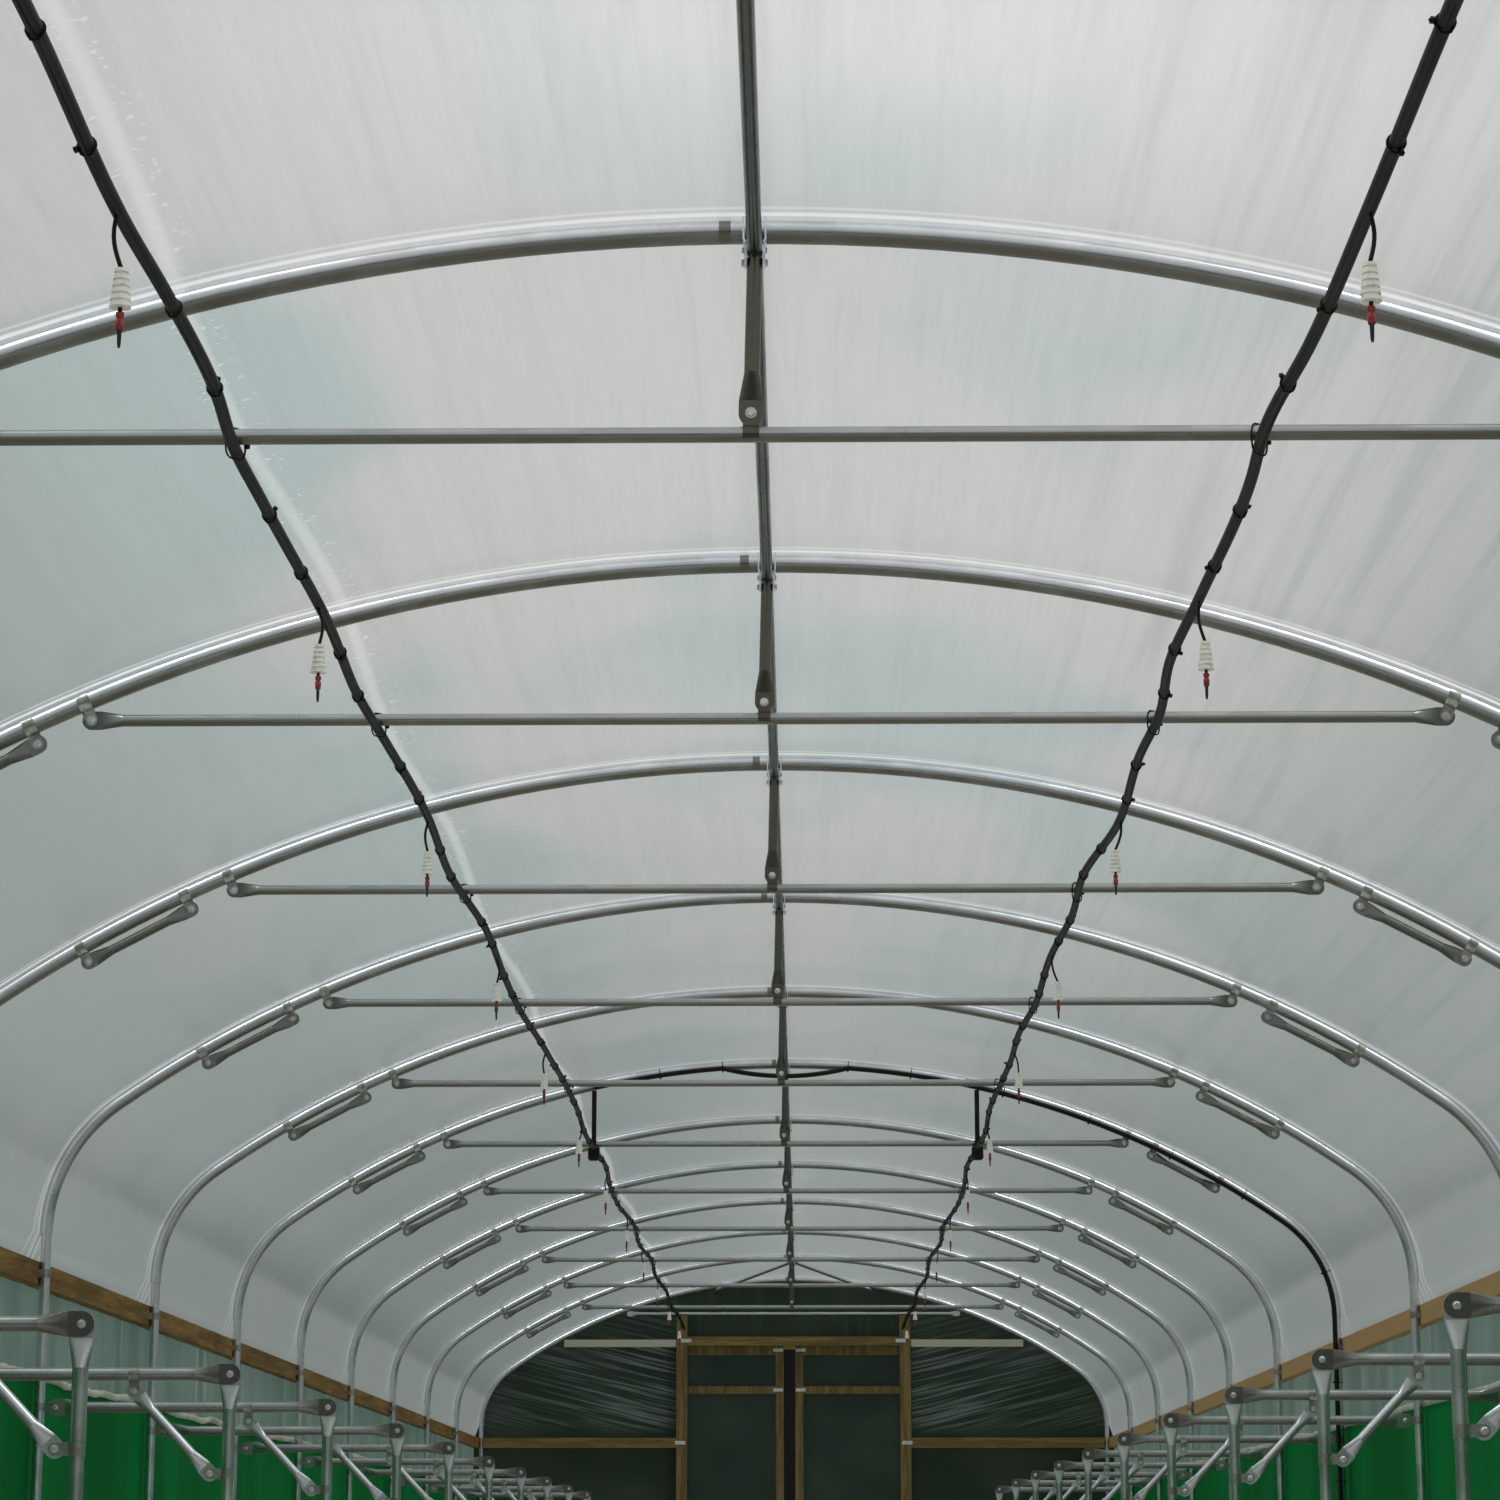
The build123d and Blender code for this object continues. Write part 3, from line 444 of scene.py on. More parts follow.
def red_plastic():
    """Dark red body between a black stem and a black tip."""
    s = Shader("red_plastic")
    grime = s.noise(120.0, 1.0)
    red = s.mix(s.ramp(grime, 0.4, 0.7), (0.40, 0.022, 0.030), (0.20, 0.018, 0.02))
    edge = 0.0004
    tip = s.ramp(s.z, RED_BOTTOM - edge, RED_BOTTOM + edge, 1.0, 0.0)
    stem = s.ramp(s.z, RED_TOP - edge, RED_TOP + edge)
    colour = s.mix(s.larger(tip, stem), red, (0.018, 0.018, 0.018))
    return s.finish(s.principled(colour, 0.4))


# Mesh helpers
def placed(name, data):
    """A new object in the scene."""
    thing = bpy.data.objects.new(name, data)
    bpy.context.scene.collection.objects.link(thing)
    return thing


def add_mesh(name, points, faces, material, slot, replaced=(), smooth=True, body=BODY):
    """A mesh piece that rides on a body and may stand for some nodes."""
    mesh = bpy.data.meshes.new(name)
    mesh.from_pydata([tuple(p) for p in points], [], faces)
    mesh.validate()
    mesh.materials.append(material)
    mesh.polygons.foreach_set("use_smooth", [smooth] * len(mesh.polygons))
    mesh.update()
    piece = placed(name, mesh)
    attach(piece, body)
    if replaced:
        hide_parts(*replaced)
    return piece


def sheet_mesh(points):
    """Points and faces of a sheet one face thick, from a grid of points."""
    rows, columns = points.shape[:2]
    row, column = np.meshgrid(np.arange(rows - 1), np.arange(columns - 1), indexing="ij")
    a = (row * columns + column).ravel()
    quads = np.stack([a, a + 1, a + 1 + columns, a + columns], 1)
    return points.reshape(-1, 3), quads.tolist()


def joined(parts):
    """One list of points and faces from several."""
    points, faces, first = [], [], 0
    for part_points, part_faces in parts:
        points.extend(tuple(p) for p in part_points)
        faces.extend([i + first for i in face] for face in part_faces)
        first += len(part_points)
    return points, faces


def ring_faces(rings, sides):
    """Faces of a closed shape made of rings of points that follow one another along an axis."""
    faces = []
    for first in range(0, (rings - 1) * sides, sides):
        for step in range(sides):
            a = first + step
            b = first + (step + 1) % sides
            faces.append([a, b, b + sides, a + sides])
    faces.append(list(range(sides - 1, -1, -1)))
    faces.append([(rings - 1) * sides + i for i in range(sides)])
    return faces


def turns(count, extra=0):
    """Angles of even steps round a circle, and of some more steps."""
    return [2 * math.pi * step / count for step in range(count + extra)]


def tube(route, radius, sides=12):
    """Points and faces of a closed tube along a route. The radius may differ from point to point."""
    route = np.array(route, float)
    radii = np.broadcast_to(radius, len(route))
    ahead = np.gradient(route, axis=0)
    ahead /= np.linalg.norm(ahead, axis=1, keepdims=True)
    guide = np.array([0.0, 0.0, 1.0]) if abs(ahead[0][2]) < 0.9 else np.array([1.0, 0.0, 0.0])
    points = []
    side = np.cross(ahead[0], guide)
    for place, forward, size in zip(route, ahead, radii):
        side = side - forward * side.dot(forward)
        side /= np.linalg.norm(side)
        upward = np.cross(side, forward)
        for turn in turns(sides):
            points.append(place + size * (side * math.cos(turn) + upward * math.sin(turn)))
    return points, [face[::-1] for face in ring_faces(len(route), sides)]


def turned(profile, place, axis, sides=12):
    """Points and faces turned from (radius, distance) pairs about an axis through a place."""
    axis = Vector(axis).normalized()
    side = axis.orthogonal().normalized()
    upward = axis.cross(side)
    points = []
    for radius, distance in profile:
        for turn in turns(sides):
            spoke = side * math.cos(turn) + upward * math.sin(turn)
            points.append(Vector(place) + axis * distance + spoke * radius)
    return points, ring_faces(len(profile), sides)


def brick(centre, size, turn=None):
    """Points and faces of a block with its own turn about its centre."""
    turn = turn or Matrix.Identity(3)
    half = Vector(size) / 2
    corners = [(x, y, z) for x in (-1, 1) for y in (-1, 1) for z in (-1, 1)]
    points = [
        Vector(centre) + turn @ Vector((x * half.x, y * half.y, z * half.z)) for x, y, z in corners
    ]
    faces = [[0, 1, 3, 2], [4, 6, 7, 5], [0, 4, 5, 1], [2, 3, 7, 6], [0, 2, 6, 4], [1, 5, 7, 3]]
    return points, faces


def soft_waves(u, v, seed, count, wave_u, wave_v):
    """Smooth uneven height from -1 to 1 over two directions, from waves of random length."""
    pick = random.Random(seed)
    total = np.zeros_like(u)
    for _ in range(count):
        length_u = pick.uniform(*wave_u) * pick.choice((-1, 1))
        length_v = pick.uniform(*wave_v)
        total += np.sin(2 * math.pi * (u / length_u + v / length_v + pick.random()))
    return total / math.sqrt(count)


def smooth_step(value, low, high):
    """From 0 to 1 as a value goes from low to high."""
    t = np.clip((value - low) / (high - low), 0, 1)
    return t * t * (3 - 2 * t)


# Roof film
def section_runs(inside):
    """Distances along the film's section: over the crown's arc, then round the shoulder."""
    crown_run = (CROWN_RADIUS + HOOP_RADIUS + inside) * CROWN_ANGLE
    bend_run = (SHOULDER_RADIUS + HOOP_RADIUS + inside) * (math.pi / 2 - CROWN_ANGLE)
    return crown_run, bend_run


FLARE_OUT = rail_high.x - HALF_WIDTH - HOOP_RADIUS
FLARE_DOWN = SHOULDER_Z - rail_high.z
FLARE_RUN = math.hypot(FLARE_OUT, FLARE_DOWN)


def section_point(run, inside):
    """X, Z and outward direction on the film's inner face, a run from the ridge along the section."""
    side = np.sign(run)
    run = np.abs(run)
    radius = CROWN_RADIUS + HOOP_RADIUS + inside
    bend = SHOULDER_RADIUS + HOOP_RADIUS + inside
    crown_run, bend_run = section_runs(inside)
    on_crown = run < crown_run
    turn = np.where(on_crown, run / radius, CROWN_ANGLE + (run - crown_run) / bend)
    turn = np.minimum(turn, math.pi / 2)
    x = np.where(on_crown, radius * np.sin(turn), SHOULDER_X + bend * np.sin(turn))
    z = np.where(on_crown, CROWN_CENTRE + radius * np.cos(turn), SHOULDER_Z + bend * np.cos(turn))
    below = run - crown_run - bend_run
    part = np.clip(below / FLARE_RUN, 0, 1)
    x = np.where(below > 0, HALF_WIDTH + HOOP_RADIUS + inside + FLARE_OUT * part, x)
    z = np.where(below > 0, SHOULDER_Z - FLARE_DOWN * part - np.maximum(below - FLARE_RUN, 0), z)
    return side * x, z, side * np.sin(turn), np.cos(turn)


def roof_runs():
    """Distances from the ridge at which the section has a point, and where the legs start."""
    crown_run, bend_run = section_runs(0.0)
    leg_run = crown_run + bend_run
    half = list(np.linspace(0, crown_run, 27)[1:])
    half += list(crown_run + np.linspace(0, bend_run, 12)[1:])
    half += list(leg_run + np.linspace(0, FLARE_RUN, 3)[1:])
    half += [leg_run + FLARE_RUN + rail_high.z - rail_low.z]
    return np.array([-r for r in reversed(half)] + [0.0] + half), leg_run


def roof_cover(material):
    """Film over the hoops: drawn in between them, pleated above the rails, creased on the left."""
    runs, leg_run = roof_runs()
    places = np.linspace(cover_low.y, cover_high.y, 28 * BAYS + 1)
    y, run = np.meshgrid(places, runs, indexing="ij")
    x, z, out_x, out_z = section_point(run, FILM_CLEAR)
    between = (1 - np.cos(2 * math.pi * y / BAY)) / 2
    held = smooth_step(leg_run + 0.12 - np.abs(run), 0.0, 0.25)
    edge = np.abs(run) - leg_run
    pleats_near = smooth_step(edge, -0.75, -0.05) * smooth_step(0.10 - edge, 0.0, 0.12)
    lean = soft_waves(y + 0.16 * run, run, 11, 9, (0.07, 0.22), (1.5, 4.0))
    pleats = PLEAT_DEPTH * pleats_near * np.abs(lean) * (0.25 + 0.75 * between)
    billow = BILLOW_DEPTH * soft_waves(y, run, 5, 7, (0.5, 1.6), (0.7, 2.4)) * between * held
    crease = CREASE_DEPTH * np.exp(-((run + CREASE_PLACE) / CREASE_WIDTH) ** 2)
    push = np.minimum(-FILM_SAG * between * held - pleats + billow - crease, 0.0)
    points = np.stack([x + out_x * push, y, z + out_z * push], 2)[::-1]
    cover = add_mesh(
        "roof_film_cover", *sheet_mesh(points), material, "roof_film",
        ("cover_crown_left", "cover_crown_right", "cover_shoulder_left", "cover_shoulder_right"),
    )


# Sheets down the sides
def side_sheet(x, high, half, seed, depth, waves, side):
    """Points and faces of an upright sheet along one side, with folds that run up and down."""
    y, z = np.meshgrid(np.linspace(-half, half, 701), np.linspace(0.0, high, 11), indexing="ij")
    hang = smooth_step(high - z, 0.0, 0.25)
    fold = soft_waves(y, z, seed, 10, waves, (2.0, 7.0))
    shift = np.clip(depth * fold * (0.35 + 0.65 * hang), -depth * 1.6, depth * 1.6)
    return sheet_mesh(np.stack([side * (x + shift), y, z], 2)[::side])


def side_sheets(look):
    """Skirt, green sheet and rolled hem along both sides."""
    kinds = (
        ("creased_skirt_", "skirt_", "skirt_film", "side_rails", (skirt_low, skirt_high), 0.0,
         0, SKIRT_FOLD, (0.16, 0.6)),
        ("folded_green_sheet_", "green_sheet_", "green_sheeting", "sheet_hems",
         (sheet_low, sheet_high), SHEET_LAP, 3, GREEN_FOLD, (0.5, 1.8)),
    )
    for side, name in ((-1, "left"), (1, "right")):
        for label, node, slot, rest, (low, high), lap, more, depth, waves in kinds:
            seed = 40 + 10 * side + more
            mesh = side_sheet((low.x + high.x) / 2, high.z + lap, high.y, seed, depth, waves, side)
            piece = add_mesh(label + name, *mesh, look[slot], slot, (node + name,))
    places = np.linspace(hem_low.y, hem_high.y, 421)
    middle = (hem_low.z + hem_high.z) / 2 + 0.002
    sag = -HEM_SAG * (1 - np.cos(2 * math.pi * places / BAY)) / 2
    parts = []
    for side in (-1, 1):
        sway = soft_waves(places, places, 70 + side, 6, (0.5, 1.9), (0.9, 2.0))
        heights = middle + sag + HEM_SWAY * sway
        uneven = soft_waves(places, places, 80 + side, 6, (0.1, 0.5), (0.2, 0.7))
        route = [(side * sheet_low.x, y, z) for y, z in zip(places, heights)]
        parts.append(tube(route, HEM_RADIUS + HEM_SWELL * uneven, 10))
    add_mesh("rolled_hems", *joined(parts), look["pale_hem"], "pale_hem", ("sheet_hems",))


# End walls
UPPER_RAIL_DEPTH = 0.052
POST_WIDTH = 0.080
LINTEL_LAP = 0.025


def wall_top(x):
    """Height of the end wall's film at a distance from the middle."""
    x = np.abs(x)
    radius = CROWN_RADIUS + HOOP_RADIUS
    bend = SHOULDER_RADIUS + HOOP_RADIUS
    turn_x = radius * math.sin(CROWN_ANGLE)
    crown = CROWN_CENTRE + np.sqrt(radius**2 - np.minimum(x, turn_x) ** 2)
    inner = np.clip((x - SHOULDER_X) / bend, 0, 1)
    shoulder = SHOULDER_Z + bend * np.sqrt(1 - inner**2)
    past = np.clip((x - SHOULDER_X - bend) / (rail_high.x - SHOULDER_X - bend), 0, 1)
    flare = SHOULDER_Z - past * (SHOULDER_Z - rail_high.z)
    return np.where(x < turn_x, crown, np.where(x < SHOULDER_X + bend, shoulder, flare))


def wall_sheet(x0, x1, low, seed, end, columns):
    """A panel of end film, flat where timber backs it and drawn into folds between."""
    across = np.linspace(x0, x1, columns)
    up = np.linspace(0, 1, 61)
    x, t = np.meshgrid(across, up, indexing="ij")
    z = low + (wall_top(x) - low) * t
    lower_rail = wall_rail_low.z + (rail_high.z - rail_low.z) / 2
    upper_rail = wall_rail_high.z - UPPER_RAIL_DEPTH / 2
    free = np.ones_like(z)
    for middle in (lower_rail, upper_rail):
        free *= smooth_step(np.abs(z - middle), 0.03, 0.16)
    free *= smooth_step(wall_top(x) - z, 0.0, 0.12) * smooth_step(np.abs(x), 0.86, 1.0)
    upper = smooth_step(z, rail_high.z, rail_high.z + 0.08)
    folds = soft_waves(x + 2.4 * z, z - 0.35 * np.abs(x), seed, 9, (0.5, 1.4), (0.10, 0.30))
    smooth = soft_waves(x, z, seed + 1, 5, (0.5, 1.2), (0.4, 1.0))
    push = free * (WALL_FOLD * np.abs(folds) * upper + WALL_BULGE * smooth)
    y = wall_film_high.y - FILM_THICKNESS - push
    return sheet_mesh(np.stack([x, end * y, z], 2)[::-end])


def end_sheets(material):
    """Film of both end walls, in three panels round the doorway."""
    half_door = post_high.x - POST_WIDTH
    outer = rail_high.x
    panels = {
        "left": (-outer, -half_door, 0.0, 90),
        "right": (half_door, outer, 0.0, 90),
        "top": (-half_door, half_door, lintel_low.z + LINTEL_LAP, 60),
    }
    for seed, (name, (x0, x1, low, columns)) in enumerate(panels.items()):
        for end, place in ((-1, "near"), (1, "far")):
            mesh = wall_sheet(x0, x1, low, 20 + 5 * seed + end, end, columns)
            piece = add_mesh(
                f"end_sheet_{name}_{place}", *mesh, material, "end_film", ("end_film_" + name,)
            )


def leaf_sheets(material):
    """Film on each door leaf, nearly flat in its frame. The near end's leaves stay shut."""
    for name in ("left", "right"):
        low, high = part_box("door_film_" + name)
        across = np.linspace(low.x, high.x, 31)
        x, z = np.meshgrid(across, np.linspace(low.z, high.z, 61), indexing="ij")
        free = smooth_step(x, low.x, low.x + 0.1) * smooth_step(high.x - x, 0.0, 0.1)
        folds = soft_waves(x + 0.3 * z, z, len(name), 7, (0.2, 0.6), (0.4, 1.5))
        y = (low.y + high.y) / 2 + LEAF_FOLD * free * folds
        spots = (
            ("leaf_sheet_", 1, name + "_leaf", "door_film_" + name, "door_leaf_" + name),
            ("near_leaf_sheet_", -1, BODY, "near_door_film", "near_door_leaves"),
        )
        for label, end, owner, node, rest in spots:
            mesh = sheet_mesh(np.stack([x, end * y, z], 2)[::-end])
            piece = add_mesh(label + name, *mesh, material, "end_film", (node,), body=owner)


# Watering lines: places along the tunnel and how far the line sways there from straight
LEFT_SWAY = [
    (-13.95, 0.0), (-13.1, 0.012), (-12.0, -0.006), (-11.2, 0.01), (-10.3, -0.004), (-9.73, 0.003),
    (-8.99, -0.008), (-8.75, 0.0), (-8.35, 0.004), (-8.0, -0.014), (-7.73, -0.012), (-6.94, -0.004),
    (-6.3, -0.018), (-5.92, -0.01), (-5.05, 0.0), (-4.35, -0.016), (-3.5, 0.006), (-2.7, -0.01),
    (-2.0, -0.014), (-1.1, 0.004), (0.6, 0.012), (1.5, -0.006), (1.945, 0.0),
]
RIGHT_SWAY = [
    (-13.95, 0.0), (-13.2, -0.01), (-12.0, 0.008), (-11.1, -0.006), (-10.2, 0.006), (-9.7, 0.003),
    (-9.06, 0.003), (-8.5, 0.0), (-8.1, -0.015), (-7.82, -0.004), (-7.06, -0.008), (-6.57, -0.016),
    (-6.13, 0.006), (-5.75, 0.0), (-5.0, 0.014), (-4.3, -0.018), (-3.73, -0.004), (-3.0, -0.016),
    (-2.0, -0.006), (-1.5, -0.02), (-0.8, -0.01), (0.62, -0.014), (1.5, 0.006), (1.945, 0.0),
]
FAR_SWAY = [
    (1.997, 0.0), (2.6, -0.014), (3.5, 0.01), (4.5, 0.018), (5.6, -0.01), (6.6, 0.012),
    (7.7, -0.012), (9.0, 0.014), (10.2, -0.008), (11.4, 0.012), (12.6, -0.006), (13.95, 0.0),
]
PIPE_REACH = (pipe_low.x + pipe_high.x) / 2
PIPE_HEIGHT = (pipe_low.z + pipe_high.z) / 2
LINES = {
    "left": (-1, [LEFT_SWAY, [(y, -sway) for y, sway in FAR_SWAY]]),
    "right": (1, [RIGHT_SWAY, FAR_SWAY]),
}
TIE_PLACES = (0.18, 0.36, 0.66, 0.84)
DROP_PLACE = 0.47
DROP_LEAN = 0.010
LINE_STEP = 0.06
LINE_RISE = 0.004
WIRE_RADIUS = 0.0013
DROP_RADIUS = 0.003
FEED_INSET = 0.012
BAND_RADIUS = 0.0021
BAND_HEAD = (0.0075, 0.0075, 0.0062)
TIE_RADIUS = 0.0017
TIE_CLEAR = 0.0014
BAR_TIE_HALF = 0.0195
TIE_HEAD = (0.0066, 0.0075, 0.0066)


def through(points, y):
    """Smooth value at a place, through given ones."""
    places, values = (np.array(column) for column in zip(*points))
    slope = np.gradient(values, places)
    spot = min(max(np.searchsorted(places, y, side="right") - 1, 0), len(places) - 2)
    width = places[spot + 1] - places[spot]
    t = (y - places[spot]) / width
    at_start = values[spot] * (2 * t**3 - 3 * t**2 + 1) + slope[spot] * width * (t**3 - 2 * t**2 + t)
    at_end = values[spot + 1] * (3 * t**2 - 2 * t**3) + slope[spot + 1] * width * (t**3 - t**2)
    return float(at_start + at_end)


def line_place(name, y):
    """Centre of a watering line at a place along the tunnel."""
    side, stretches = LINES[name]
    stretch = stretches[0] if y < stretches[1][0][0] else stretches[1]
    y = min(max(y, stretch[0][0]), stretch[-1][0])
    free = math.sin(math.pi * y / BAY) ** 2
    rise = LINE_RISE * free * math.sin(1.7 * y + side)
    return Vector((side * PIPE_REACH + through(stretch, y), y, PIPE_HEIGHT + rise))


def band(name, y):
    """Cable tie round a line and its wire, with its head and a short tail."""
    pick = random.Random(round(y * 100) + len(name))
    centre = line_place(name, y)
    start = pick.uniform(0, 2 * math.pi)
    tilt = pick.uniform(-0.2, 0.2)
    reach = PIPE_RADIUS + 0.0012
    loop = []
    for turn in turns(14, 1):
        angle = start + turn
        low = math.sin(angle) < -0.75
        loop.append(centre + Vector((
            reach * math.cos(angle), tilt * reach * math.cos(angle),
            reach * math.sin(angle) - (2 * WIRE_RADIUS if low else 0.0),
        )))
    spoke = Vector((math.cos(start), 0, math.sin(start)))
    head = centre + spoke * (PIPE_RADIUS + 0.0040)
    square = Matrix.Rotation(-start, 3, "Y")
    tail = [head + spoke * 0.002, head + spoke * pick.uniform(0.004, 0.007)]
    return [tube(loop, BAND_RADIUS, 6), brick(head, BAND_HEAD, square), tube(tail, 0.0018, 5)]


def bar_band(name, y):
    """Cable tie that holds a line up under a crossbar, aslant round both."""
    centre = line_place(name, y)
    top = BAR_Z + BAR_TUBE_RADIUS + 0.0013
    low = PIPE_HEIGHT - PIPE_RADIUS - 2 * WIRE_RADIUS - 0.0010
    aslant = Vector((0.7, 0.7, 0))
    loop = []
    for angle in turns(20, 1):
        wide = math.copysign(abs(math.cos(angle)) ** 0.5, math.cos(angle)) * BAR_TIE_HALF
        high = math.copysign(abs(math.sin(angle)) ** 0.8, math.sin(angle))
        height = (top + low) / 2 + high * (top - low) / 2
        loop.append(Vector((centre.x, y, height)) + aslant * wide)
    head = Vector((centre.x, y, (top + low) / 2)) + aslant * (BAR_TIE_HALF + 0.003)
    square = Matrix.Rotation(math.radians(45), 3, "Z")
    return [tube(loop, TIE_RADIUS, 6), brick(head, TIE_HEAD, square)]


def watering_lines(material):
    """The two lines with their sway, the wire under each, the cable ties and the drop tubes."""
    for name, (_, stretches) in LINES.items():
        parts = []
        for stretch in stretches:
            start, end = stretch[0][0], stretch[-1][0]
            steps = np.append(np.arange(start, end, LINE_STEP), end)
            parts.append(tube([line_place(name, y) for y in steps], PIPE_RADIUS, 14))
        add_mesh("watering_line_" + name, *joined(parts), material, "black_pipe", ("pipe_" + name,))
        tied = [y + part * BAY for y in ALL_HOOPS[:-1] for part in TIE_PLACES]
        tied = [y for y in tied if abs(y - FEED_Y) > 0.1]
        ties = [piece for y in tied for piece in band(name, y)]
        ties += [piece for y in INNER_HOOPS for piece in bar_band(name, y)]
        add_mesh("cable_ties_" + name, *joined(ties), material, "black_pipe")
        wire = []
        for y in sorted(tied + INNER_HOOPS):
            centre = line_place(name, y)
            wire.append((centre.x, y, PIPE_HEIGHT - PIPE_RADIUS - WIRE_RADIUS - 0.0002))
        add_mesh("support_wire_" + name, *tube(wire, WIRE_RADIUS, 6), material, "black_pipe")
    drops = []
    weight_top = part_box("drop_weights")[1].z
    for index, hoop in enumerate(ALL_HOOPS[:-1]):
        for name, (side, _) in LINES.items():
            y = hoop + DROP_PLACE * BAY
            start = line_place(name, y) - Vector((0, 0, PIPE_RADIUS * 0.8))
            end = Vector((side * PIPE_REACH, y, weight_top - 0.001))
            lean = Vector((DROP_LEAN * math.sin(3.1 * index + side), 0.004, 0))
            route = []
            for step in range(9):
                t = step / 8
                route.append(start.lerp(end, t) + lean * math.sin(math.pi * t) * (1 - 0.4 * t))
            drops.append(tube(route, DROP_RADIUS, 8))
    add_mesh("bent_drop_tubes", *joined(drops), material, "black_pipe", ("drop_tubes",))


def sprinkler_tips(material):
    """Black stem, waisted red body and tapered black tip under each ribbed weight."""
    profile = [
        (0.0029, 0.0), (0.0029, 0.0060), (0.0055, 0.0066), (0.0055, 0.0125), (0.0042, 0.0135),
        (0.0042, 0.0165), (0.0058, 0.0178), (0.0050, 0.0300), (0.0031, 0.0305), (0.0027, 0.0470),
        (0.0018, nozzle_high.z - nozzle_low.z),
    ]
    parts = []
    for hoop in ALL_HOOPS[:-1]:
        for side in (-1, 1):
            place = (side * PIPE_REACH, hoop + DROP_PLACE * BAY, nozzle_high.z)
            parts.append(turned(profile, place, (0, 0, -1), 14))
    add_mesh("sprinkler_tips", *joined(parts), material, "red_plastic", ("drop_nozzles",))


def hoop_tie(centre, outward, hoop_y, hoop_radius):
    """Cable tie round a hoop tube and the feed pipe that runs beside it."""
    centre = Vector((centre[0], hoop_y, centre[1]))
    outward = Vector((outward[0], 0, outward[1]))
    along = Vector((0, 1, 0))
    pipe = centre - outward * FEED_INSET + along * (FEED_Y - hoop_y)
    loop = []
    for turn in turns(32, 1):
        look = outward * math.cos(turn) + along * math.sin(turn)
        at_hoop = centre + look * (hoop_radius + TIE_CLEAR)
        at_pipe = pipe + look * (PIPE_RADIUS + TIE_CLEAR)
        loop.append(max(at_hoop, at_pipe, key=look.dot))
    head = pipe - outward * (PIPE_RADIUS + 0.0035)
    return [tube(loop, TIE_RADIUS, 6), brick(head, TIE_HEAD)]


CROWN_TIES = (-0.53, -0.265, 0.265, 0.53, 0.92, 1.28, 1.62, 1.92)
SHOULDER_TIE = math.radians(68)
LEG_TIES = (1.10, 0.70, 0.30)


def feed_ties(material):
    """Ties of the feed pipe, along the crown, round the shoulder and down the right leg."""
    hoop_y = BAY * round(FEED_Y / BAY)
    parts = []
    arcs = [(math.asin(x / CROWN_RADIUS), CROWN_RADIUS, 0.0, CROWN_CENTRE) for x in CROWN_TIES]
    arcs.append((SHOULDER_TIE, SHOULDER_RADIUS, SHOULDER_X, SHOULDER_Z))
    for turn, radius, centre_x, centre_z in arcs:
        out = (math.sin(turn), math.cos(turn))
        place = (centre_x + radius * out[0], centre_z + radius * out[1])
        parts += hoop_tie(place, out, hoop_y, HOOP_RADIUS)
    for z in LEG_TIES:
        parts += hoop_tie((HALF_WIDTH, z), (1.0, 0.0), hoop_y, LEG_RADIUS)
    add_mesh("feed_pipe_ties", *joined(parts), material, "black_pipe")


# Bolts
BRACE_ARC = CROWN_RADIUS - 0.042
LUG_FACE = 0.0048
TAB_FACE = 0.002
BENCH_CLIP = 0.0043
BRACE_FOOT = (0.045, 0.250)
BRACE_HEAD = (0.245, 0.042)
CLAMP_GRIP = 0.0036
CLAMP_BOLT_RADIUS = 0.0058
CLAMP_BOLT_RISE = 0.0065
SCREW_RADIUS = 0.0046
SCREW_HEIGHT = 0.004
SCREW_BACK = 0.008
SCREW_RISE = 0.011
WASHER = 0.0012


def pressed_half(radius):
    """Half the width of a tube's end that is pressed flat."""
    return math.pi * radius / 2


def hex_head(place, axis, radius=0.0068, height=0.0052):
    """Six-sided head with a worn top edge, on a round washer."""
    profile = [(radius, WASHER), (radius, height * 0.8), (radius * 0.82, height), (0.0012, height)]
    washer = [(radius * 1.35, 0.0), (radius * 1.35, WASHER), (radius, WASHER + 0.0001)]
    return [turned(profile, place, axis, 6), turned(washer, place, axis, 14)]


def through_bolt(place, face_near=LUG_FACE, face_far=LUG_FACE):
    """Bolt along Y: its head on the near face, a nut and the thread's end on the far one."""
    axis = Vector((0, 1, 0))
    near = Vector(place) - axis * face_near
    far = Vector(place) + axis * face_far
    stub = [(0.0038, 0.004), (0.0038, 0.0095), (0.0030, 0.0105)]
    return hex_head(near, -axis) + hex_head(far, axis, height=0.0062) + [turned(stub, far, axis, 8)]


def frame_bolts(material):
    """Bolts at every pressed end of the crossbars, posts and braces under the hoops."""
    half = pressed_half(BAR_TUBE_RADIUS)
    king_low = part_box("king_posts")[0]
    spots = [
        (bar_high.x - half, BAR_Z), (bar_low.x + half, BAR_Z), (king_low.x + half, king_low.z + half),
    ]
    for z in (brace_high.z - half, brace_low.z + half):
        reach = math.sqrt(BRACE_ARC**2 - (z - CROWN_CENTRE) ** 2)
        spots += [(-reach, z), (reach, z)]
    clamp_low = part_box("ridge_clamps")[0]
    grip = purlin_high.x + CLAMP_GRIP
    parts = []
    for y in INNER_HOOPS:
        for x, z in spots:
            parts += through_bolt((x, y, z))
        for side in (-1, 1):
            out = (side, 0, 0)
            bolt = (side * grip, y, clamp_low.z + CLAMP_BOLT_RISE)
            screw = (side * grip, y - SCREW_BACK, purlin_low.z + SCREW_RISE)
            parts += hex_head(bolt, out, CLAMP_BOLT_RADIUS)
            parts += hex_head(screw, out, SCREW_RADIUS, SCREW_HEIGHT)
    add_mesh("frame_bolts", *joined(parts), material, "bright_clips", smooth=False)


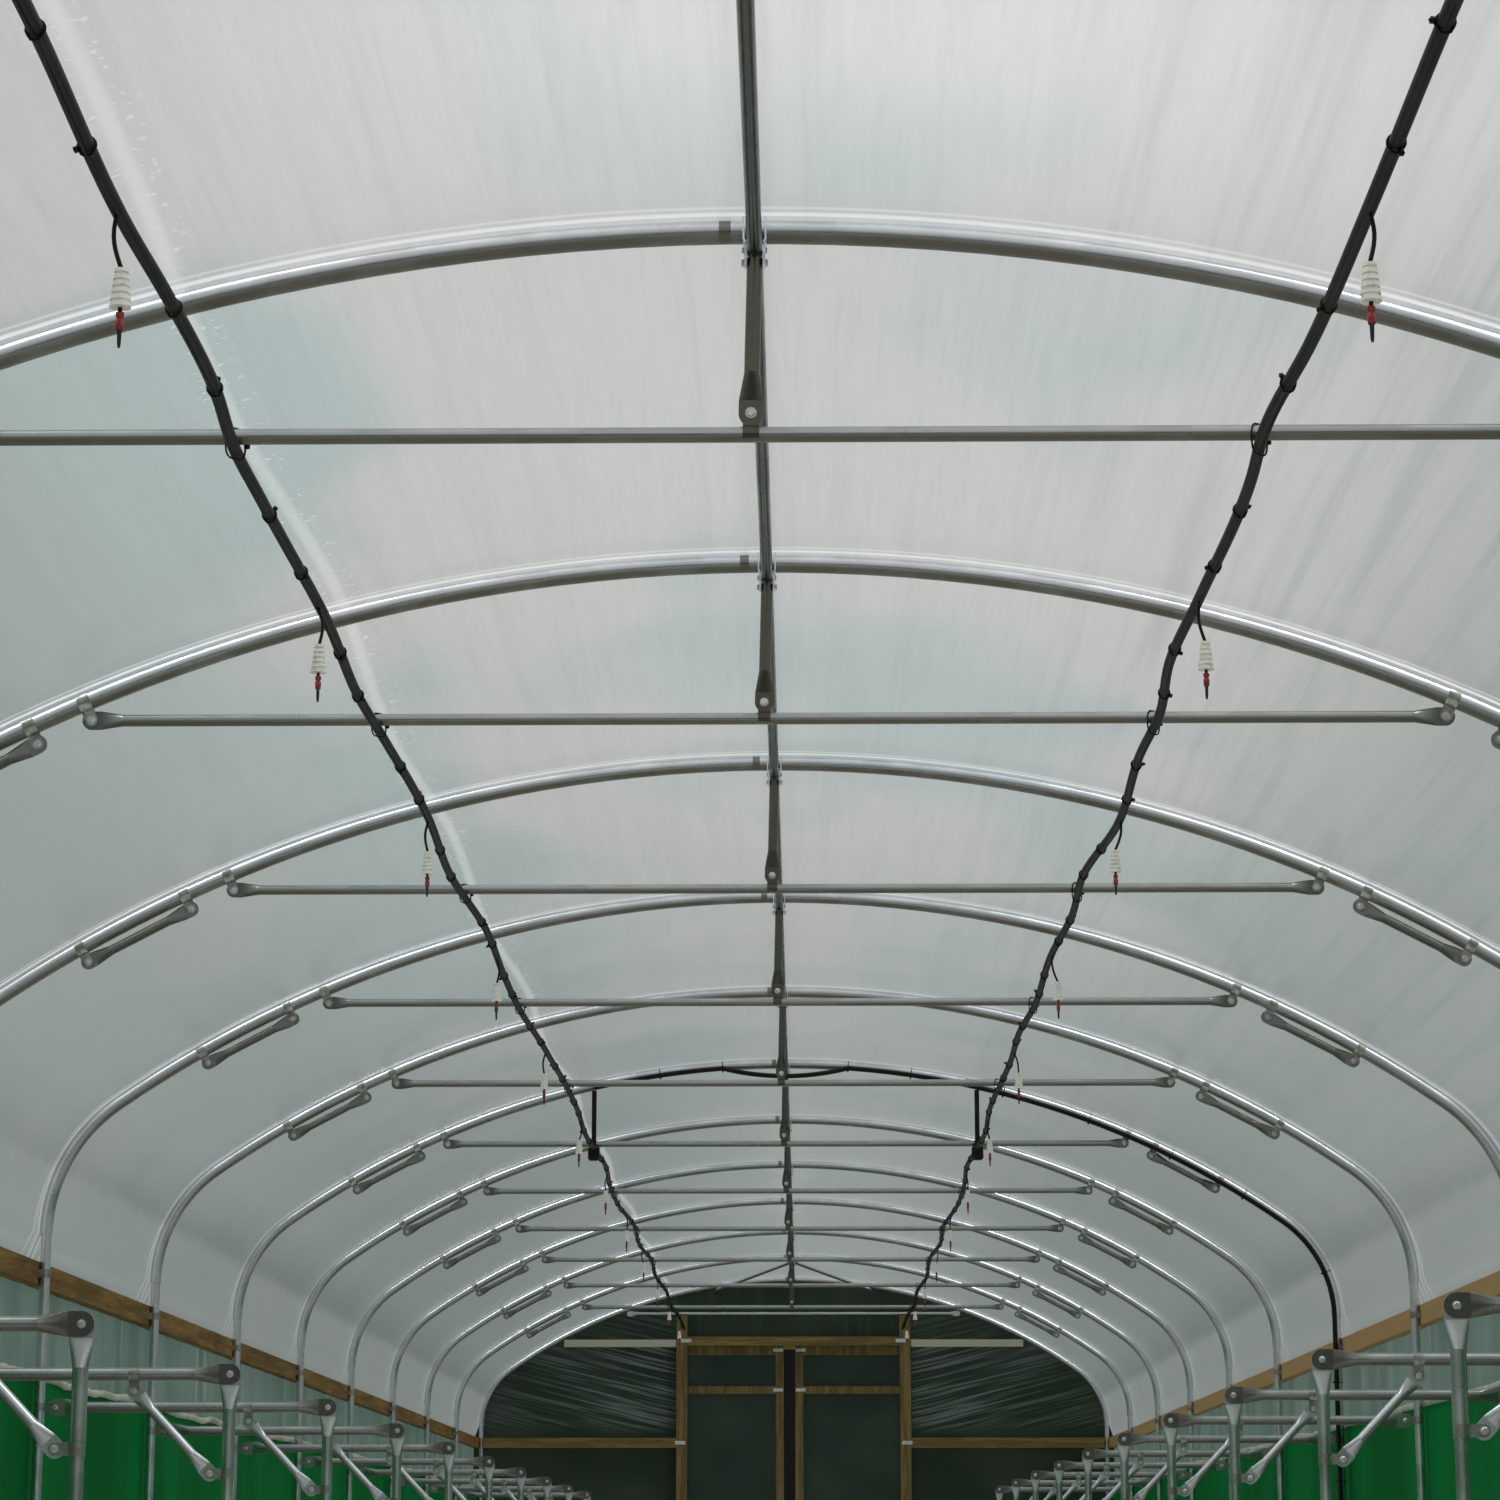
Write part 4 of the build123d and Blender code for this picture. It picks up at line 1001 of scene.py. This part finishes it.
def staging_bolts(material):
    """Bolts of the staging: at the legs, at the post heads and at both ends of each brace."""
    half = pressed_half(BENCH_TUBE_RADIUS)
    bar_end = bench_high.x - half
    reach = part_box("bench_posts")[1].x - half
    heights = {1: bench_high.z - half, -1: bench_low.z + half}
    parts = []
    for side, height in heights.items():
        for y in INNER_HOOPS:
            parts += through_bolt((side * bar_end, y, height))
            parts += through_bolt((side * reach, y, height), TAB_FACE, TAB_FACE + BENCH_CLIP)
            for out, down in (BRACE_FOOT, BRACE_HEAD):
                parts += through_bolt((side * (reach + out), y, height - down))
    add_mesh("staging_bolts", *joined(parts), material, "bright_clips", smooth=False)


# Nail plates
PLATE = 0.0014
WALL_PLATE = (0.075, 0.026)
LEAF_PLATE = (0.072, 0.024)
STILE_MIDDLE = 0.040
DOOR_EDGE = 0.80
WALL_FACE = HALF_LENGTH - 0.025
LINTEL_PLATE = (lintel_high.z - 0.030, -0.012)
RAIL_PLATE = ((rail_low.z + rail_high.z) / 2, 0.03)
LEAF_RAILS = (leaf_high.z - 0.036, leaf_high.z - 0.3265, 0.35)


def nail_plate(place, size, end):
    """Thin plate with rows of pressed dimples, on a face that looks towards the inside."""
    x, y, z = place
    width, height = size
    parts = [brick((x, y - end * PLATE / 2, z), (width, PLATE, height))]
    for column in range(5):
        for row in range(2):
            dot = (x + width * (column - 2) * 0.19, y - end * PLATE, z + height * (row - 0.5) * 0.5)
            parts.append(turned([(0.0024, 0.0), (0.0012, 0.0009)], dot, (0, -end, 0), 6))
    return parts


def nail_plates(material):
    """Plates where rails meet the posts of both end walls and the stiles of every leaf."""
    wall = []
    for end in (-1, 1):
        for side in (-1, 1):
            for z, out in (LINTEL_PLATE, RAIL_PLATE):
                wall += nail_plate((side * (DOOR_EDGE + out), end * WALL_FACE, z), WALL_PLATE, end)
    for name in ("left", "right"):
        low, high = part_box("door_leaf_" + name)
        parts = []
        for x in (low.x + STILE_MIDDLE, high.x - STILE_MIDDLE):
            for z in LEAF_RAILS:
                parts += nail_plate((x, leaf_low.y, z), LEAF_PLATE, 1)
                wall += nail_plate((x, -leaf_low.y, z), LEAF_PLATE, -1)
        add_mesh(
            "leaf_plates_" + name, *joined(parts), material, "bright_clips", smooth=False,
            body=name + "_leaf",
        )
    add_mesh("wall_plates", *joined(wall), material, "bright_clips", smooth=False)


def main():
    """Makes the materials, then every piece of the scene."""
    look = {
        "galvanised": tube_metal("galvanised_tube", SKY_TINTED_ZINC, UNDER_SHADE_AND_DIRT),
        "jointed_bow": tube_metal("jointed_bow_tube", SKY_TINTED_ZINC, UNDER_SHADE_AND_DIRT, ring=CROWN_JOINT),
        "dark_tube": tube_metal("weathered_tube", (0.13, 0.125, 0.105), (0.024, 0.021, 0.014)),
        "pressed_bar": tube_metal(
            "pressed_bar_tube", (0.48, 0.49, 0.49), (0.085, 0.072, 0.050), pressed=BENCH_BURN
        ),
        "bench_tube": tube_metal("bench_tube", (0.60, 0.62, 0.62), (0.100, 0.085, 0.060)),
        "crossbar": tube_metal(
            "crossbar_tube", (0.50, 0.51, 0.51), (0.11, 0.093, 0.060),
            pressed=BAR_BURN,
        ),
        "brace": tube_metal("brace_tube", (0.30, 0.30, 0.28), (0.052, 0.046, 0.033)),
        "bright_clips": bright_zinc("bright_zinc", (0.72, 0.73, 0.75), (0.50, 0.50, 0.50)),
        "clamp": bright_zinc("clamp_zinc", (0.90, 0.93, 1.0), (0.66, 0.68, 0.72)),
        "clip": bright_zinc("clip_zinc", (0.42, 0.42, 0.40), (0.24, 0.23, 0.20)),
        "rail_timber": timber(
            "rail_timber_look", (0.235, 0.136, 0.038), (0.127, 0.072, 0.018), "Y", board=2 * BAY
        ),
        "post_timber": timber("post_timber_look", (0.235, 0.163, 0.064), (0.145, 0.097, 0.038), "Z"),
        "cross_timber": timber(
            "cross_timber_look", (0.255, 0.172, 0.062), (0.155, 0.103, 0.036), "X",
            weathered=(1.5, 0.86, (0.56, 0.55, 0.46)),
        ),
        "roof_film": roof_film(),
        "end_film": wall_film(),
        "door_film": door_film(),
        "skirt_film": skirt_film(),
        "green_sheeting": green_sheet(),
        "pale_hem": beige_hem(),
        "black_pipe": speckled(
            "black_plastic", (14.0, 2.0, 0.65), (0.42, 0.7), (0.006, 0.0055, 0.0045),
            (0.016, 0.014, 0.010), 0.55, Specular_IOR_Level=0.18,
        ),
        "pale_plastic": speckled(
            "white_plastic", (90.0, 2.0, 0.65), (0.45, 0.7, 0.0, 0.6), (0.88, 0.86, 0.79),
            (0.55, 0.52, 0.42), 0.5,
        ),
        "red_plastic": red_plastic(),
        "plate": speckled(
            "nail_plate", (60.0, 2.0), (0.35, 0.65), (0.74, 0.75, 0.73), (0.55, 0.55, 0.52), 0.55, 0.4
        ),
    }
    roof_cover(look["roof_film"])
    side_sheets(look)
    end_sheets(look["end_film"])
    leaf_sheets(look["door_film"])
    watering_lines(look["black_pipe"])
    sprinkler_tips(look["red_plastic"])
    feed_ties(look["black_pipe"])
    frame_bolts(look["bright_clips"])
    staging_bolts(look["bright_clips"])
    nail_plates(look["plate"])
    dress_nodes(look)
    floor_and_light()
    camera()


def dress_nodes(look):
    """Gives every node its material, by its slot or by its own name."""
    own = {
        "post_timber": ("door_posts", "door_leaf_left", "door_leaf_right", "near_door_leaves"),
        "cross_timber": ("lintels", "end_wall_rails"),
        "dark_tube": ("ridge_purlin", "king_posts", "crossbar_clips"),
        "brace": ("splice_braces",),
        "pressed_bar": ("bench_bars",),
        "bench_tube": ("bench_posts",),
        "crossbar": ("crossbars",),
        "jointed_bow": ("crown_bows_left",),
        "clamp": ("ridge_clamps",),
        "clip": ("rail_saddles", "hoop_clips", "bench_clips"),
    }
    kinds = {part["node"]: part["material_slot"] for part in frame["record"]["subparts"]}
    kinds.update((name, kind) for kind, names in own.items() for name in names)
    for name, node in frame["nodes"].items():
        node.data.materials.clear()
        node.data.materials.append(look[kinds[name]])


# Floor, light and camera
FLOOR_HALF = 400.0
FLOOR_DROP = 0.001
DAYLIGHT = 0.26
SUN_SPREAD = math.radians(18)
LAMPS = (("overhead_left", 1.30, -26), ("overhead_right", 1.52, 26))


def floor_and_light():
    """Pale floor, even light from all round, and two wide soft lamps overhead."""
    floor = bpy.data.meshes.new("floor")
    signs = ((-1, -1), (1, -1), (1, 1), (-1, 1))
    corners = [(x * FLOOR_HALF, y * FLOOR_HALF, -FLOOR_DROP) for x, y in signs]
    floor.from_pydata(corners, [], [[0, 1, 2, 3]])
    floor.materials.append(speckled(
        "pale_floor", (4.0, 1.0), (0.3, 0.7), (0.66, 0.66, 0.65), (0.70, 0.70, 0.69), 0.9
    ))
    placed("floor", floor)

    world = bpy.data.worlds.new("studio")
    world.use_nodes = True
    tree = world.node_tree
    light = tree.nodes["Background"]
    light.inputs["Color"].default_value = (0.95, 0.98, 1.0, 1.0)
    light.inputs["Strength"].default_value = DAYLIGHT
    # Dark behind the floor, as in the gap between the door leaves
    seen = tree.nodes.new("ShaderNodeBackground")
    seen.inputs["Color"].default_value = (0.0070, 0.0075, 0.0070, 1.0)
    choice = tree.nodes.new("ShaderNodeMixShader")
    path = tree.nodes.new("ShaderNodeLightPath")
    tree.links.new(path.outputs["Is Camera Ray"], choice.inputs[0])
    tree.links.new(light.outputs[0], choice.inputs[1])
    tree.links.new(seen.outputs[0], choice.inputs[2])
    tree.links.new(choice.outputs[0], tree.nodes["World Output"].inputs["Surface"])
    bpy.context.scene.world = world
    for name, energy, tilt in LAMPS:
        lamp = bpy.data.lights.new(name, "SUN")
        lamp.energy = energy
        lamp.angle = SUN_SPREAD
        lamp.color = (1.0, 0.99, 0.97)
        # Lets highlights of the lamp show on the tubes through the film
        lamp.cycles.use_multiple_importance_sampling = False
        placed(name, lamp).rotation_euler = (math.radians(8), math.radians(tilt), 0)


def camera():
    """Camera at the photo's place, tilt and field of view."""
    lens = bpy.data.cameras.new("camera")
    lens.lens = FOCAL_LENGTH
    lens.sensor_width = SENSOR
    lens.sensor_fit = "HORIZONTAL"
    lens.clip_start = 0.01
    lens.clip_end = 500.0
    view = placed("camera", lens)
    view.location = CAMERA_PLACE
    view.rotation_euler = (math.pi / 2 + CAMERA_PITCH, 0.0, CAMERA_YAW)
    bpy.context.scene.camera = view


main()
bpy.context.scene.view_settings.view_transform = "Standard"
